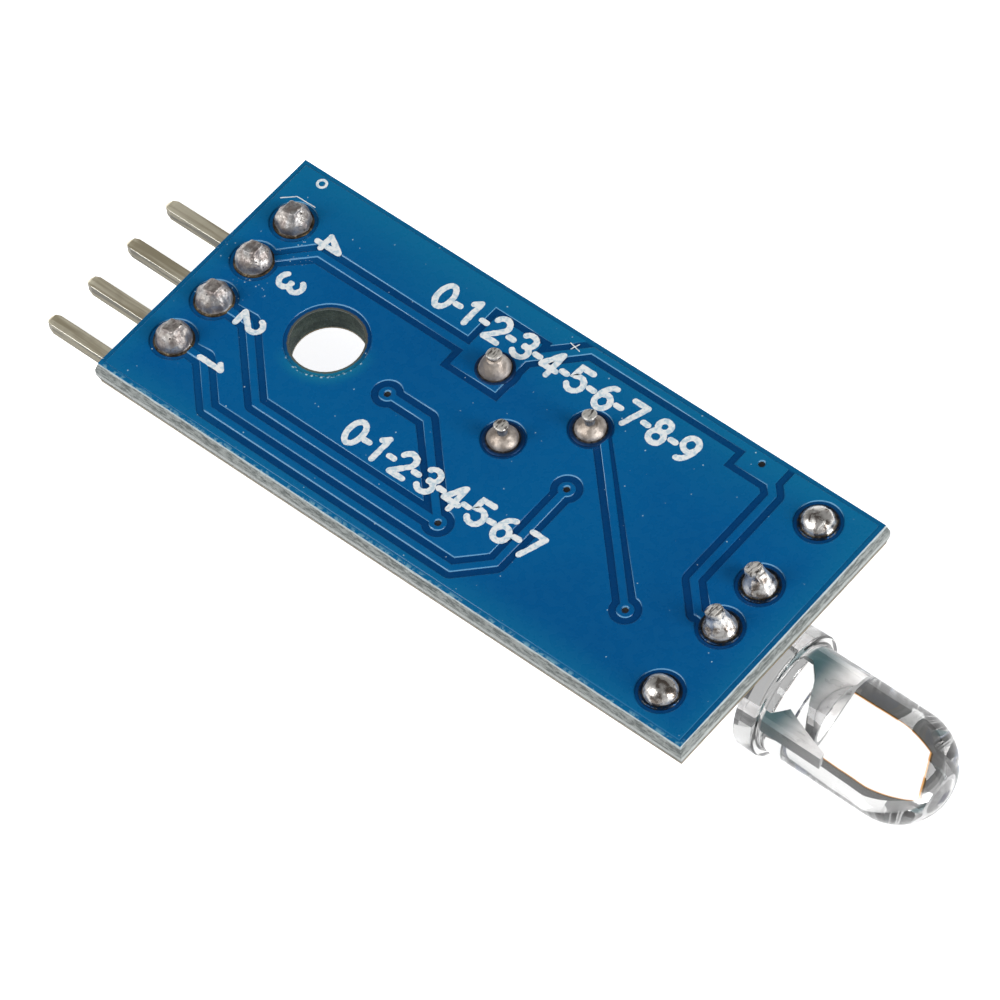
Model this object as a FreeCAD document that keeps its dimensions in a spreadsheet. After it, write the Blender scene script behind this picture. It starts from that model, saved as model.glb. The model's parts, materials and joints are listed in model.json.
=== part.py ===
import FreeCAD, Part
import math
import os
import Sketcher
from FreeCAD import Placement, Rotation, Vector

# Light sensor module: a circuit board lying solder side up, with a bent pin header, a turning
# trimmer, a comparator, chip parts and a clear round sensor under it.
# Row frame, in millimetres: the origin is the mounting hole's axis on the solder face, +X runs
# along the board to the sensor, +Y to the far long edge and +Z up out of the solder face.

doc = FreeCAD.newDocument("light_sensor_module")
sheet = doc.addObject("Spreadsheet::Sheet", "dims")
sheet_row = 0


class Size:
    """A dimension: its number, and the sheet formula that gives it."""

    def __init__(self, number, formula):
        self.number = number
        self.formula = formula

    def __add__(self, other):
        return combine(self, "+", other, number_of(self) + number_of(other))

    def __radd__(self, other):
        return combine(other, "+", self, number_of(other) + number_of(self))

    def __sub__(self, other):
        return combine(self, "-", other, number_of(self) - number_of(other))

    def __rsub__(self, other):
        return combine(other, "-", self, number_of(other) - number_of(self))

    def __mul__(self, other):
        return combine(self, "*", other, number_of(self) * number_of(other))

    def __rmul__(self, other):
        return combine(other, "*", self, number_of(other) * number_of(self))

    def __truediv__(self, other):
        return combine(self, "/", other, number_of(self) / number_of(other))

    def __neg__(self):
        return 0 - self


def number_of(item):
    return item.number if isinstance(item, Size) else float(item)


def formula_of(item):
    return item.formula if isinstance(item, Size) else "(%r)" % float(item)


def combine(first, sign, second, number):
    return Size(number, "(%s %s %s)" % (formula_of(first), sign, formula_of(second)))


def size(alias, number):
    """Write one driving dimension to the sheet and give it back as a Size."""
    global sheet_row
    sheet_row += 1
    sheet.set("A%d" % sheet_row, alias)
    sheet.set("B%d" % sheet_row, str(number))
    sheet.setAlias("B%d" % sheet_row, alias)
    return Size(float(number), "dims." + alias)


def slope_angle(run, rise):
    """The angle whose tangent is run over rise, in degrees."""
    number = math.degrees(math.atan2(number_of(run), number_of(rise)))
    return Size(number, "atan(%s / %s) / 1deg" % (formula_of(run), formula_of(rise)))


# Board
board_length = size("board_length", 31.0)
board_width = size("board_width", 13.25)
board_thickness = size("board_thickness", 1.35)
skin_thickness = size("skin_thickness", 0.08)
score_depth = size("score_depth", 0.42)
score_stand_out = size("score_stand_out", 0.12)
pitch = size("pitch", 2.54)

# Mounting hole
hole_from_header_end = size("hole_from_header_end", 6.9)
hole_diameter = size("hole_diameter", 3.2)
hole_rim = size("hole_rim", 0.25)

# Copper relief under the solder mask
track_width = size("track_width", 0.36)
channel_width = size("channel_width", 0.3)
channel_depth = size("channel_depth", 0.05)
edge_margin = size("edge_margin", 0.2)
land_diameter = size("land_diameter", 1.72)
pad_diameter = size("pad_diameter", 1.56)
via_hole = size("via_hole", 0.3)
via_land = size("via_land", 0.76)

# Header
pin_row_inset = size("pin_row_inset", 1.76)
pin_width = size("pin_width", 0.64)
pin_axis_drop = size("pin_axis_drop", 5.12)
pin_reach = size("pin_reach", 6.1)
pin_inner_bend = size("pin_inner_bend", 0.45)
pin_tip_bevel = size("pin_tip_bevel", 0.16)
pin_stub = size("pin_stub", 0.8)
pin_hole = size("pin_hole", 1.0)
strip_width = size("strip_width", 2.54)
strip_height = size("strip_height", 2.54)
strip_notch = size("strip_notch", 0.45)

# Solder joints
header_joint_height = size("header_joint_height", 0.62)
header_joint_top = size("header_joint_top", 1.0)
lead_joint_height = size("lead_joint_height", 0.6)
lead_joint_top = size("lead_joint_top", 0.8)
filled_pad_height = size("filled_pad_height", 0.5)
filled_pad_top = size("filled_pad_top", 0.2)
filled_pad_inset = size("filled_pad_inset", 1.545)
joint_swell = size("joint_swell", 0.85)

# Trimmer
trimmer_gap_share = size("trimmer_gap_share", 0.5418)
trimmer_off_centre = size("trimmer_off_centre", 1.82)
trimmer_width = size("trimmer_width", 6.6)
trimmer_depth = size("trimmer_depth", 7.0)
trimmer_height = size("trimmer_height", 4.88)
trimmer_foot = size("trimmer_foot", 0.35)
trimmer_foot_width = size("trimmer_foot_width", 0.9)
trimmer_wall = size("trimmer_wall", 0.42)
trimmer_face_wall = size("trimmer_face_wall", 0.95)
trimmer_corner = size("trimmer_corner", 0.4)
trimmer_edge = size("trimmer_edge", 0.15)
dial_recess_diameter = size("dial_recess_diameter", 5.0)
dial_recess_depth = size("dial_recess_depth", 0.15)
rotor_diameter = size("rotor_diameter", 3.6)
rotor_flange_diameter = size("rotor_flange_diameter", 5.0)
rotor_flange = size("rotor_flange", 0.8)
rotor_sink = size("rotor_sink", 0.1)
rotor_clearance = size("rotor_clearance", 0.05)
slot_length = size("slot_length", 2.9)
slot_width = size("slot_width", 0.56)
slot_depth = size("slot_depth", 0.75)
cross_length = size("cross_length", 2.1)
seal_section = size("seal_section", 0.5)
wiper_thickness = size("wiper_thickness", 0.1)
wiper_diameter = size("wiper_diameter", 3.8)
wiper_pip = size("wiper_pip", 0.1)
wiper_pip_diameter = size("wiper_pip_diameter", 0.4)
wiper_pip_reach = size("wiper_pip_reach", 1.6)
wiper_hub_diameter = size("wiper_hub_diameter", 0.6)
element_thickness = size("element_thickness", 0.7)
potting_sink = size("potting_sink", 0.15)
trimmer_lead = size("trimmer_lead", 0.58)
trimmer_lead_inset = size("trimmer_lead_inset", 0.76)
trimmer_lead_stub = size("trimmer_lead_stub", 1.0)
trimmer_lead_bevel = size("trimmer_lead_bevel", 0.1)
trimmer_lead_head = size("trimmer_lead_head", 0.66)
trimmer_lead_head_height = size("trimmer_lead_head_height", 0.2)
trimmer_hole = size("trimmer_hole", 0.9)

# Comparator
comparator_gap_share = size("comparator_gap_share", 0.1632)
comparator_length = size("comparator_length", 4.9)
comparator_width = size("comparator_width", 3.9)
comparator_lower = size("comparator_lower", 0.65)
comparator_upper = size("comparator_upper", 0.85)
comparator_draft = size("comparator_draft", 7.0)
comparator_lift = size("comparator_lift", 0.15)
comparator_span = size("comparator_span", 6.0)
comparator_pitch = size("comparator_pitch", 1.27)
comparator_dot = size("comparator_dot", 0.8)
comparator_dot_depth = size("comparator_dot_depth", 0.08)
foot_length = size("foot_length", 0.65)
foot_width = size("foot_width", 0.42)
foot_thickness = size("foot_thickness", 0.2)

# Chip parts
chip_length = size("chip_length", 2.0)
chip_width = size("chip_width", 1.25)
resistor_height = size("resistor_height", 0.5)
capacitor_height = size("capacitor_height", 0.95)
terminal_length = size("terminal_length", 0.38)
terminal_plating = size("terminal_plating", 0.03)
led_base_height = size("led_base_height", 0.35)
led_lens_height = size("led_lens_height", 0.45)
led_lens_length = size("led_lens_length", 1.3)
led_lens_draft = size("led_lens_draft", 8.0)
led_notch = size("led_notch", 0.4)
chip_fillet_length = size("chip_fillet_length", 0.4)
chip_fillet_height = size("chip_fillet_height", 0.32)
fillet_crest = size("fillet_crest", 0.05)
foot_fillet_length = size("foot_fillet_length", 0.2)

# Sensor
sensor_row_inset = size("sensor_row_inset", 2.24)
sensor_drop = size("sensor_drop", 4.27)
sensor_flange_inset = size("sensor_flange_inset", 0.61)
sensor_diameter = size("sensor_diameter", 4.9)
sensor_flange_diameter = size("sensor_flange_diameter", 5.7)
sensor_flange = size("sensor_flange", 1.0)
sensor_length = size("sensor_length", 8.75)
sensor_lead = size("sensor_lead", 0.5)
sensor_inner_bend = size("sensor_inner_bend", 0.35)
sensor_stub = size("sensor_stub", 1.1)
sensor_lean = size("sensor_lean", 0.3)
sensor_hole = size("sensor_hole", 0.9)
frame_start = size("frame_start", 0.9)
anvil_top = size("anvil_top", 3.05)
anvil_side = size("anvil_side", 1.5)
anvil_inner = size("anvil_inner", 0.6)
anvil_shoulder = size("anvil_shoulder", 1.3)
anvil_waist = size("anvil_waist", 1.45)
anvil_waist_side = size("anvil_waist_side", 0.7)
anvil_lip = size("anvil_lip", 0.6)
cup_offset = size("cup_offset", 0.15)
cup_diameter = size("cup_diameter", 1.9)
cup_bowl = size("cup_bowl", 0.75)
cup_swell = size("cup_swell", 1.3)
cup_mouth = size("cup_mouth", 1.55)
cup_floor = size("cup_floor", 0.8)
cup_depth = size("cup_depth", 0.45)
post_top = size("post_top", 3.8)
post_tip_width = size("post_tip_width", 0.3)
post_flag = size("post_flag", 1.5)
post_flag_width = size("post_flag_width", 1.0)
die_side = size("die_side", 0.5)
die_height = size("die_height", 0.2)

# Places that follow from the sizes above
header_end = -hole_from_header_end
sensor_end = board_length - hole_from_header_end
pin_row = header_end + pin_row_inset
sensor_row = sensor_end - sensor_row_inset
half_width = board_width / 2
flange_back = sensor_end - sensor_flange_inset

# The hole, trimmer, comparator and sensor leads stand in a row; their gaps share what length is left
hole_radius = hole_diameter / 2
free_length = sensor_row - hole_radius - trimmer_width - comparator_span
trimmer_x = hole_radius + trimmer_gap_share * free_length + trimmer_width / 2
trimmer_y = trimmer_off_centre
comparator_left = trimmer_x + trimmer_width / 2 + comparator_gap_share * free_length
comparator_x = comparator_left + comparator_span / 2

# Chip parts: in from the long edges, and along from the part each one serves
led_inset = size("led_inset", 1.125)
led_resistor_inset = size("led_resistor_inset", 2.825)
chip_row_inset = size("chip_row_inset", 1.65)
comparator_chip_offset = size("comparator_chip_offset", 1.6)
capacitor_offset = size("capacitor_offset", 2.2)
capacitor_clearance = size("capacitor_clearance", 1.9)
led_row = half_width - led_inset
led_resistor_row = half_width - led_resistor_inset
chip_row = half_width - chip_row_inset
capacitor_row = trimmer_y - trimmer_depth / 2 - capacitor_clearance
led_places = {"power": (0, -led_row), "signal": (0, led_row)}
resistor_places = [(0, -led_resistor_row), (0, led_resistor_row)]
for side in (-1, 1):
    for step in (-1, 1):
        resistor_places.append((comparator_x + step * comparator_chip_offset, side * chip_row))
capacitor_places = [(trimmer_x + step * capacitor_offset, capacitor_row) for step in (-1, 1)]

# Vias: two near the trimmer's sides, two short of the sensor, one beside the hole
hole_via_x = size("hole_via_x", 3.77)
hole_via_drop = size("hole_via_drop", 0.57)
low_via_offset = size("low_via_offset", 0.52)
low_via_inset = size("low_via_inset", 2.395)
side_via_offset = size("side_via_offset", 3.65)
side_via_rise = size("side_via_rise", 0.2)
end_via_offset = size("end_via_offset", 3.56)
end_via_inset = size("end_via_inset", 3.705)
edge_via_offset = size("edge_via_offset", 3.61)
edge_via_inset = size("edge_via_inset", 0.675)
hole_via = (hole_via_x, -hole_via_drop)
low_via = (trimmer_x + low_via_offset, low_via_inset - half_width)
side_via = (trimmer_x + side_via_offset, side_via_rise)
end_via = (sensor_row - end_via_offset, end_via_inset - half_width)
edge_via = (sensor_row - edge_via_offset, half_width - edge_via_inset)
via_places = [hole_via, low_via, side_via, end_via, edge_via]

# Lanes and areas of the copper relief
analog_lane_inset = size("analog_lane_inset", 1.005)
analog_turn_offset = size("analog_turn_offset", 1.64)
analog_corner = size("analog_corner", 1.3)
digital_turn_offset = size("digital_turn_offset", 1.94)
supply_lane = size("supply_lane", 3.2)
edge_lane_inset = size("edge_lane_inset", 0.405)
edge_lane_offset = size("edge_lane_offset", 0.1)
edge_lane_lead = size("edge_lane_lead", 1.5)
first_area_reach = size("first_area_reach", 4.2)
first_area_length = size("first_area_length", 2.45)
first_area_rise = size("first_area_rise", 0.33)
first_area_width = size("first_area_width", 3.05)
second_area_reach = size("second_area_reach", 4.51)
second_area_length = size("second_area_length", 1.95)
second_area_inset = size("second_area_inset", 0.225)
second_area_width = size("second_area_width", 1.14)
sensor_lane_offset = size("sensor_lane_offset", 2.29)
sensor_lane_turn = size("sensor_lane_turn", 1.15)
lane_lap = size("lane_lap", 0.5)
analog_lane = analog_lane_inset - half_width
edge_lane = half_width - edge_lane_inset
first_area = (trimmer_x - first_area_reach, trimmer_y + first_area_rise,
              first_area_length, first_area_width)
second_area = (sensor_row - second_area_reach, half_width - second_area_inset - second_area_width,
               second_area_length, second_area_width)

doc.recompute()

nodes = {}


def bind(item, **formulas):
    """Tie properties to the sheet: two underscores in a name stand for a dot."""
    for name, value in formulas.items():
        item.setExpression(name.replace("__", "."), formula_of(value))


def place(item, x=0, y=0, z=0):
    bind(item, Placement__Base__x=x, Placement__Base__y=y, Placement__Base__z=z)


def keep(name, item):
    """Make an object one of the module's pieces, under its node name."""
    item.Label = name
    nodes[name] = item
    return item


# Plain solids and booleans

def box(name, x, y, z, length, width, height):
    """A box centred on x and y that stands on z."""
    item = doc.addObject("Part::Box", name)
    bind(item, Length=length, Width=width, Height=height)
    place(item, x - length / 2, y - width / 2, z)
    return item


def cylinder(name, x, y, z, diameter, height):
    item = doc.addObject("Part::Cylinder", name)
    bind(item, Radius=diameter / 2, Height=height)
    place(item, x, y, z)
    return item


def fuse(name, shapes):
    item = doc.addObject("Part::MultiFuse", name)
    item.Shapes = shapes
    return item


def cut(name, base, tool):
    item = doc.addObject("Part::Cut", name)
    item.Base = base
    item.Tool = tool
    return item


# Sketches and features

def origin_plane(body, role):
    return [item for item in body.Origin.OriginFeatures if item.Role == role][0]


def new_body(name):
    return doc.addObject("PartDesign::Body", name)


def new_sketch(body, role, lift):
    sketch = body.newObject("Sketcher::SketchObject", body.Name + "_sketch")
    sketch.AttachmentSupport = [(origin_plane(body, role), "")]
    sketch.MapMode = "FlatFace"
    bind(sketch, AttachmentOffset__Base__z=lift)
    return sketch


def fix(sketch, kind, value, *where):
    """Add a dimension to a sketch and tie it to the sheet."""
    index = sketch.addConstraint(Sketcher.Constraint(kind, *where, number_of(value)))
    sketch.setExpression("Constraints[%d]" % index, formula_of(value))


def arc_middle(start, end, radius, side):
    """The middle point of the arc from start to end that swells to its left (1) or right (-1)."""
    chord = end - start
    reach = radius - math.sqrt(radius ** 2 - chord.Length ** 2 / 4)
    across = Vector(-chord.y, chord.x, 0).normalize()
    return (start + end) * 0.5 + across * reach * side


def outline(body, role, points, arcs=None, lift=0):
    """A closed outline through the points; arcs gives the radius and side of a run by its number."""
    sketch = new_sketch(body, role, lift)
    arcs = arcs or {}
    spots = [Vector(number_of(x), number_of(y), 0) for x, y in points]
    starts = []
    ends = []
    for index, start in enumerate(spots):
        end = spots[(index + 1) % len(spots)]
        if index in arcs:
            radius, side = arcs[index]
            middle = arc_middle(start, end, number_of(radius), side)
            first, last = (end, start) if side > 0 else (start, end)
            curve = Part.Arc(first, middle, last)
        else:
            curve = Part.LineSegment(start, end)
        sketch.addGeometry(curve, False)
        forward = sketch.Geometry[index].StartPoint.distanceToPoint(start) < 1e-6
        starts.append(1 if forward else 2)
        ends.append(2 if forward else 1)
    for index, (x, y) in enumerate(points):
        before = index - 1 if index else len(points) - 1
        sketch.addConstraint(
            Sketcher.Constraint("Coincident", before, ends[before], index, starts[index]))
        fix(sketch, "DistanceX", x, -1, 1, index, starts[index])
        fix(sketch, "DistanceY", y, -1, 1, index, starts[index])
    for index, (radius, side) in arcs.items():
        fix(sketch, "Radius", radius, index)
    return sketch


def rectangle(body, width, depth, lift=0, x=0, y=0):
    """A rectangle on the ground plane, centred on x and y."""
    left, right = x - width / 2, x + width / 2
    low, high = y - depth / 2, y + depth / 2
    corners = [(left, low), (right, low), (right, high), (left, high)]
    return outline(body, "XY_Plane", corners, lift=lift)


def circle(body, diameter, lift=0, x=0, y=0):
    sketch = new_sketch(body, "XY_Plane", lift)
    centre = Vector(number_of(x), number_of(y), 0)
    sketch.addGeometry(Part.Circle(centre, Vector(0, 0, 1), number_of(diameter) / 2), False)
    fix(sketch, "DistanceX", x, -1, 1, 0, 3)
    fix(sketch, "DistanceY", y, -1, 1, 0, 3)
    fix(sketch, "Diameter", diameter, 0)
    return sketch


def pad(body, sketch, length, symmetric=False, reverse=False, draft=0):
    """Grow a sketch along its normal; a draft leans the walls in as they rise."""
    feature = body.newObject("PartDesign::Pad", body.Name + "_pad")
    feature.Profile = sketch
    feature.SideType = "Symmetric" if symmetric else "One side"
    feature.Reversed = reverse
    bind(feature, Length=length)
    if number_of(draft):
        bind(feature, TaperAngle=-draft)
    return feature


def pocket(body, sketch, depth, symmetric=False):
    """Cut a sketch down from its plane, or both ways from it."""
    feature = body.newObject("PartDesign::Pocket", body.Name + "_pocket")
    feature.Profile = sketch
    feature.SideType = "Symmetric" if symmetric else "One side"
    bind(feature, Length=depth)
    return feature


def revolve(body, sketch, axis):
    feature = body.newObject("PartDesign::Revolution", body.Name + "_turned")
    feature.Profile = sketch
    feature.ReferenceAxis = (sketch, [axis])
    feature.Angle = 360
    return feature


def soften(body, kind, reach, wanted):
    """A fillet or chamfer on the edges of the last feature that the test wants."""
    doc.recompute()
    base = body.Tip
    names = ["Edge%d" % number for number, edge in enumerate(base.Shape.Edges, 1) if wanted(edge)]
    feature = body.newObject("PartDesign::" + kind, body.Name + "_" + kind.lower())
    feature.Base = (base, names)
    bind(feature, **{"Radius" if kind == "Fillet" else "Size": reach})
    return feature


def upright(edge):
    direction = edge.tangentAt(edge.FirstParameter)
    return abs(direction.z) > 0.99


def lies_at(edge, axis, value):
    return all(abs(getattr(vertex.Point, axis) - value) < 1e-4 for vertex in edge.Vertexes)


# Where the leads and pads are

header_pads = [(pin_row, (index - 1.5) * pitch) for index in range(4)]
trimmer_lead_spread = trimmer_width / 2 - trimmer_lead_inset
trimmer_pads = [
    (trimmer_x - trimmer_lead_spread, trimmer_y + pitch / 2),
    (trimmer_x, trimmer_y - pitch / 2),
    (trimmer_x + trimmer_lead_spread, trimmer_y + pitch / 2),
]
sensor_pads = [(sensor_row, -pitch / 2), (sensor_row, pitch / 2)]
filled_pads = [(sensor_row, filled_pad_inset - half_width), (sensor_row, half_width - filled_pad_inset)]
all_pads = header_pads + trimmer_pads + sensor_pads + filled_pads


# Circuit board: a glass-fibre core broken out of its panel along scored lines

def board_holes(name, bottom, height):
    """The drilled holes as one tool: mounting hole, lead holes and vias."""
    tools = [cylinder(name + "_mounting", 0, 0, bottom, hole_diameter, height)]
    drills = [(header_pads, pin_hole), (trimmer_pads, trimmer_hole),
              (sensor_pads + filled_pads, sensor_hole), (via_places, via_hole)]
    for pads, drill in drills:
        for x, y in pads:
            tools.append(cylinder(name + "_drill", x, y, bottom, drill, height))
    return fuse(name, tools)


core_thickness = board_thickness - 2 * skin_thickness
web_thickness = core_thickness - 2 * score_depth
web_length = board_length + 2 * score_stand_out
web_width = board_width + 2 * score_stand_out
board_middle = board_length / 2 - hole_from_header_end
score_angle = slope_angle(score_stand_out, score_depth)

core_blank = new_body("core_blank")
for reverse in (False, True):
    web_sketch = rectangle(core_blank, web_length, web_width, x=board_middle,
                           lift=web_thickness / 2 * (-1 if reverse else 1))
    pad(core_blank, web_sketch, score_depth, reverse=reverse, draft=score_angle)
    if not reverse:
        web_sketch = rectangle(core_blank, web_length, web_width, x=board_middle)
        pad(core_blank, web_sketch, web_thickness, symmetric=True)
place(core_blank, z=-board_thickness / 2)
core_holes = board_holes("core_holes", -board_thickness, board_thickness)
keep("circuit_board", cut("circuit_board_cut", core_blank, core_holes))


# Solder-side skin: copper foil under blue mask, with channels cleared round every track and land

def spot(place):
    """A place in plain numbers."""
    return tuple(number_of(item) for item in place)


def track_runs():
    """Each track as a list of points in the row frame."""
    analog, digital, supply = [spot(place) for place in header_pads[:3]]
    end_pad = spot(trimmer_pads[2])
    sensor_pad = spot(sensor_pads[0])
    hole_end, low_end, side_end, far_end = [
        spot(place) for place in (hole_via, low_via, side_via, end_via)]
    analog_turn = number_of(pin_row + analog_turn_offset)
    digital_turn = number_of(pin_row + digital_turn_offset)
    lane = analog_lane.number
    corner = analog_corner.number
    high = supply_lane.number
    edge = edge_lane.number
    edge_start = number_of(trimmer_x + edge_lane_offset)
    lead = edge_lane_lead.number
    down = number_of(sensor_row - sensor_lane_offset)
    turn = sensor_lane_turn.number
    lap = lane_lap.number
    first_left, first_low = spot(first_area[:2])
    second_left, second_low = spot(second_area[:2])
    exit_x, exit_y = second_left + second_area_length.number - lap, second_low + lap
    return [
        [analog, (analog_turn, analog[1]), (analog_turn + analog[1] - lane, lane),
         (side_end[0] - corner, lane), (side_end[0], lane + corner), side_end],
        [digital, (digital_turn, digital[1]),
         (digital_turn + digital[1] - low_end[1], low_end[1]), low_end],
        [hole_end, (low_end[0] - hole_end[1] + low_end[1], hole_end[1]), low_end],
        [end_pad, (far_end[0] - end_pad[1] + far_end[1], end_pad[1]), far_end],
        [supply, (supply[0] + high - supply[1], high), (first_left + lap, high)],
        [(edge_start - (edge - first_low) + lead, first_low + lead), (edge_start, edge),
         (second_left + lap, edge)],
        [(exit_x, exit_y), (down, exit_y - (down - exit_x)),
         (down, sensor_pad[1] + turn), (down + turn, sensor_pad[1]), sensor_pad],
    ]


def relief(grow, depth):
    """The raised copper, grown sideways by a distance, as one solid below the solder face."""
    parts = []
    width = track_width.number + 2 * grow
    floor = -depth
    for points in track_runs():
        for start, end in zip(points, points[1:]):
            run = Vector(end[0] - start[0], end[1] - start[1], 0)
            slab = Part.makeBox(run.Length, width, depth, Vector(0, -width / 2, 0))
            angle = math.degrees(math.atan2(run.y, run.x))
            slab.Placement = Placement(Vector(start[0], start[1], floor),
                                       Rotation(Vector(0, 0, 1), angle))
            parts.append(slab)
        for x, y in points:
            parts.append(Part.makeCylinder(width / 2, depth, Vector(x, y, floor)))
    discs = [(all_pads, land_diameter.number), (via_places, via_land.number)]
    for spots, diameter in discs:
        for x, y in spots:
            centre = Vector(number_of(x), number_of(y), floor)
            parts.append(Part.makeCylinder(diameter / 2 + grow, depth, centre))
    for area in (first_area, second_area):
        left, low, length, width = spot(area)
        parts.append(Part.makeBox(length + 2 * grow, width + 2 * grow, depth,
                                  Vector(left - grow, low - grow, floor)))
    return parts[0].multiFuse(parts[1:]).removeSplitter()


def channels():
    """The cleared channels: round the copper, round the mounting hole and along the edges."""
    depth = channel_depth.number
    cleared = relief(channel_width.number, depth).cut(relief(0.0, depth))
    rim = Part.makeCylinder(hole_diameter.number / 2 + hole_rim.number, depth, Vector(0, 0, -depth))
    length, width = board_length.number, board_width.number
    margin = edge_margin.number
    corner = Vector(header_end.number, -half_width.number, -depth)
    frame = Part.makeBox(length, width, depth, corner)
    inner = Part.makeBox(length - 2 * margin, width - 2 * margin, depth,
                         corner + Vector(margin, margin, 0))
    return cleared.multiFuse([rim, frame.cut(inner)]).removeSplitter()


channel_tool = doc.addObject("Part::Feature", "channel_tool")
channel_tool.Shape = channels()

solder_skin = box("solder_skin", board_middle, 0, -skin_thickness,
                  board_length, board_width, skin_thickness)
pad_openings = [cylinder("pad_opening", x, y, -skin_thickness, pad_diameter, skin_thickness)
                for x, y in all_pads]
solder_tools = fuse("solder_skin_tools", [board_holes("solder_holes", -skin_thickness, skin_thickness),
                                          channel_tool] + pad_openings)
keep("solder_side_skin", cut("solder_side_cut", solder_skin, solder_tools))

component_skin = box("component_skin", board_middle, 0, -board_thickness,
                     board_length, board_width, skin_thickness)
component_holes = board_holes("component_holes", -board_thickness, skin_thickness)
keep("component_side_skin", cut("component_side_cut", component_skin, component_holes))


# Header: four square pins bent over under a notched strip

def header_pin(number, y):
    """A square pin: up through strip and board at one end, out past the board at the other."""
    name = "header_pin_%d" % number
    body = new_body(name + "_body")
    half = pin_width / 2
    inner = pin_inner_bend
    outer = pin_inner_bend + pin_width
    level = -pin_axis_drop
    tip = header_end - pin_reach
    points = [
        (pin_row - half, pin_stub), (pin_row - half, level + half + inner),
        (pin_row - half - inner, level + half), (tip, level + half), (tip, level - half),
        (pin_row + half - outer, level - half), (pin_row + half, level - half + outer),
        (pin_row + half, pin_stub),
    ]
    side = outline(body, "XZ_Plane", points, {1: (inner, 1), 5: (outer, -1)})
    pad(body, side, pin_width, symmetric=True)
    soften(body, "Chamfer", pin_tip_bevel,
           lambda edge: lies_at(edge, "x", tip.number) or lies_at(edge, "z", pin_stub.number))
    place(body, y=y)
    return keep(name, body)


for number, (x, y) in enumerate(header_pads, 1):
    header_pin(number, y)

strip_bottom = -board_thickness - strip_height
strip = new_body("header_strip_body")
strip_points = []
for side in (1, -1):
    for index in range(4):
        cell = (index - 1.5) * pitch * side
        for step in (-1, 1):
            edge = cell + step * side * pitch / 2
            inset = cell + step * side * (pitch / 2 - strip_notch)
            notch = (pin_row + side * (strip_width / 2 - strip_notch), edge)
            flat = (pin_row + side * strip_width / 2, inset)
            strip_points += [notch, flat] if step < 0 else [flat]
            if index == 3 and step > 0:
                strip_points.append(notch)
pad(strip, outline(strip, "XY_Plane", strip_points, lift=strip_bottom), strip_height)
for x, y in header_pads:
    pocket(strip, rectangle(strip, pin_width, pin_width, x=x, y=y, lift=-board_thickness), strip_height)
keep("header_strip", strip)


# Solder joints: a barrel through the board and a swelling bead on its pad, round the lead

def solder_joint(name, x, y, drill, height, top, lead=None, square=False):
    """A turned bead; lead is the width of the wire that passes through it."""
    body = new_body(name + "_body")
    points = [
        (0, -board_thickness), (drill / 2, -board_thickness), (drill / 2, -skin_thickness),
        (pad_diameter / 2, -skin_thickness), (pad_diameter / 2, 0), (top / 2, height), (0, height),
    ]
    revolve(body, outline(body, "XZ_Plane", points, {4: (joint_swell, -1)}), "V_Axis")
    if lead is not None:
        shape = rectangle(body, lead, lead) if square else circle(body, lead)
        pocket(body, shape, 2 * (board_thickness + height), symmetric=True)
    place(body, x, y)
    return keep(name, body)


for number, (x, y) in enumerate(header_pads, 1):
    solder_joint("header_joint_%d" % number, x, y, pin_hole,
                 header_joint_height, header_joint_top, pin_width, True)
for number, (x, y) in enumerate(trimmer_pads, 1):
    solder_joint("trimmer_joint_%d" % number, x, y, trimmer_hole,
                 lead_joint_height, lead_joint_top, trimmer_lead)
for number, (x, y) in enumerate(sensor_pads, 1):
    solder_joint("sensor_joint_%d" % number, x, y, sensor_hole,
                 lead_joint_height, lead_joint_top, sensor_lead, True)
for number, (x, y) in enumerate(filled_pads, 1):
    solder_joint("filled_pad_%d" % number, x, y, sensor_hole, filled_pad_height, filled_pad_top)


# Trimmer: heights are from the component face, which its feet stand on

face_level = -trimmer_height
cavity_floor = face_level + trimmer_face_wall
rotor_face = face_level + rotor_sink
flange_low = cavity_floor + rotor_clearance
flange_high = flange_low + rotor_flange
wiper_top = flange_high + wiper_thickness + wiper_pip
element_low = wiper_top + rotor_clearance
element_high = element_low + element_thickness
cavity_width = trimmer_width - 2 * trimmer_wall
cavity_depth = trimmer_depth - 2 * trimmer_wall
seal_seat = rotor_diameter + 2 * (seal_section + 2 * rotor_clearance)
seal_seat_depth = seal_section + rotor_clearance


def place_trimmer(item):
    place(item, trimmer_x, trimmer_y, -board_thickness)


housing = new_body("trimmer_housing_body")
pad(housing, rectangle(housing, trimmer_width, trimmer_depth, lift=face_level),
    trimmer_height - trimmer_foot)
soften(housing, "Fillet", trimmer_corner, upright)
soften(housing, "Chamfer", trimmer_edge, lambda edge: lies_at(edge, "z", face_level.number))
pocket(housing, rectangle(housing, cavity_width, cavity_depth, lift=-trimmer_foot),
       trimmer_height - trimmer_foot - trimmer_face_wall)
pocket(housing, circle(housing, seal_seat, lift=cavity_floor), seal_seat_depth)
pocket(housing, circle(housing, rotor_diameter + 2 * rotor_clearance, lift=cavity_floor),
       trimmer_face_wall)
pocket(housing, circle(housing, dial_recess_diameter, lift=face_level + dial_recess_depth),
       dial_recess_depth)
foot_x = (trimmer_width - trimmer_foot_width) / 2 - trimmer_corner / 2
foot_y = trimmer_depth / 2 - trimmer_wall / 2
for x in (-foot_x, foot_x):
    for y in (-foot_y, foot_y):
        pad(housing, rectangle(housing, trimmer_foot_width, trimmer_wall,
                               x=x, y=y, lift=-trimmer_foot), trimmer_foot)
place_trimmer(housing)
keep("trimmer_housing", housing)

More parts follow.
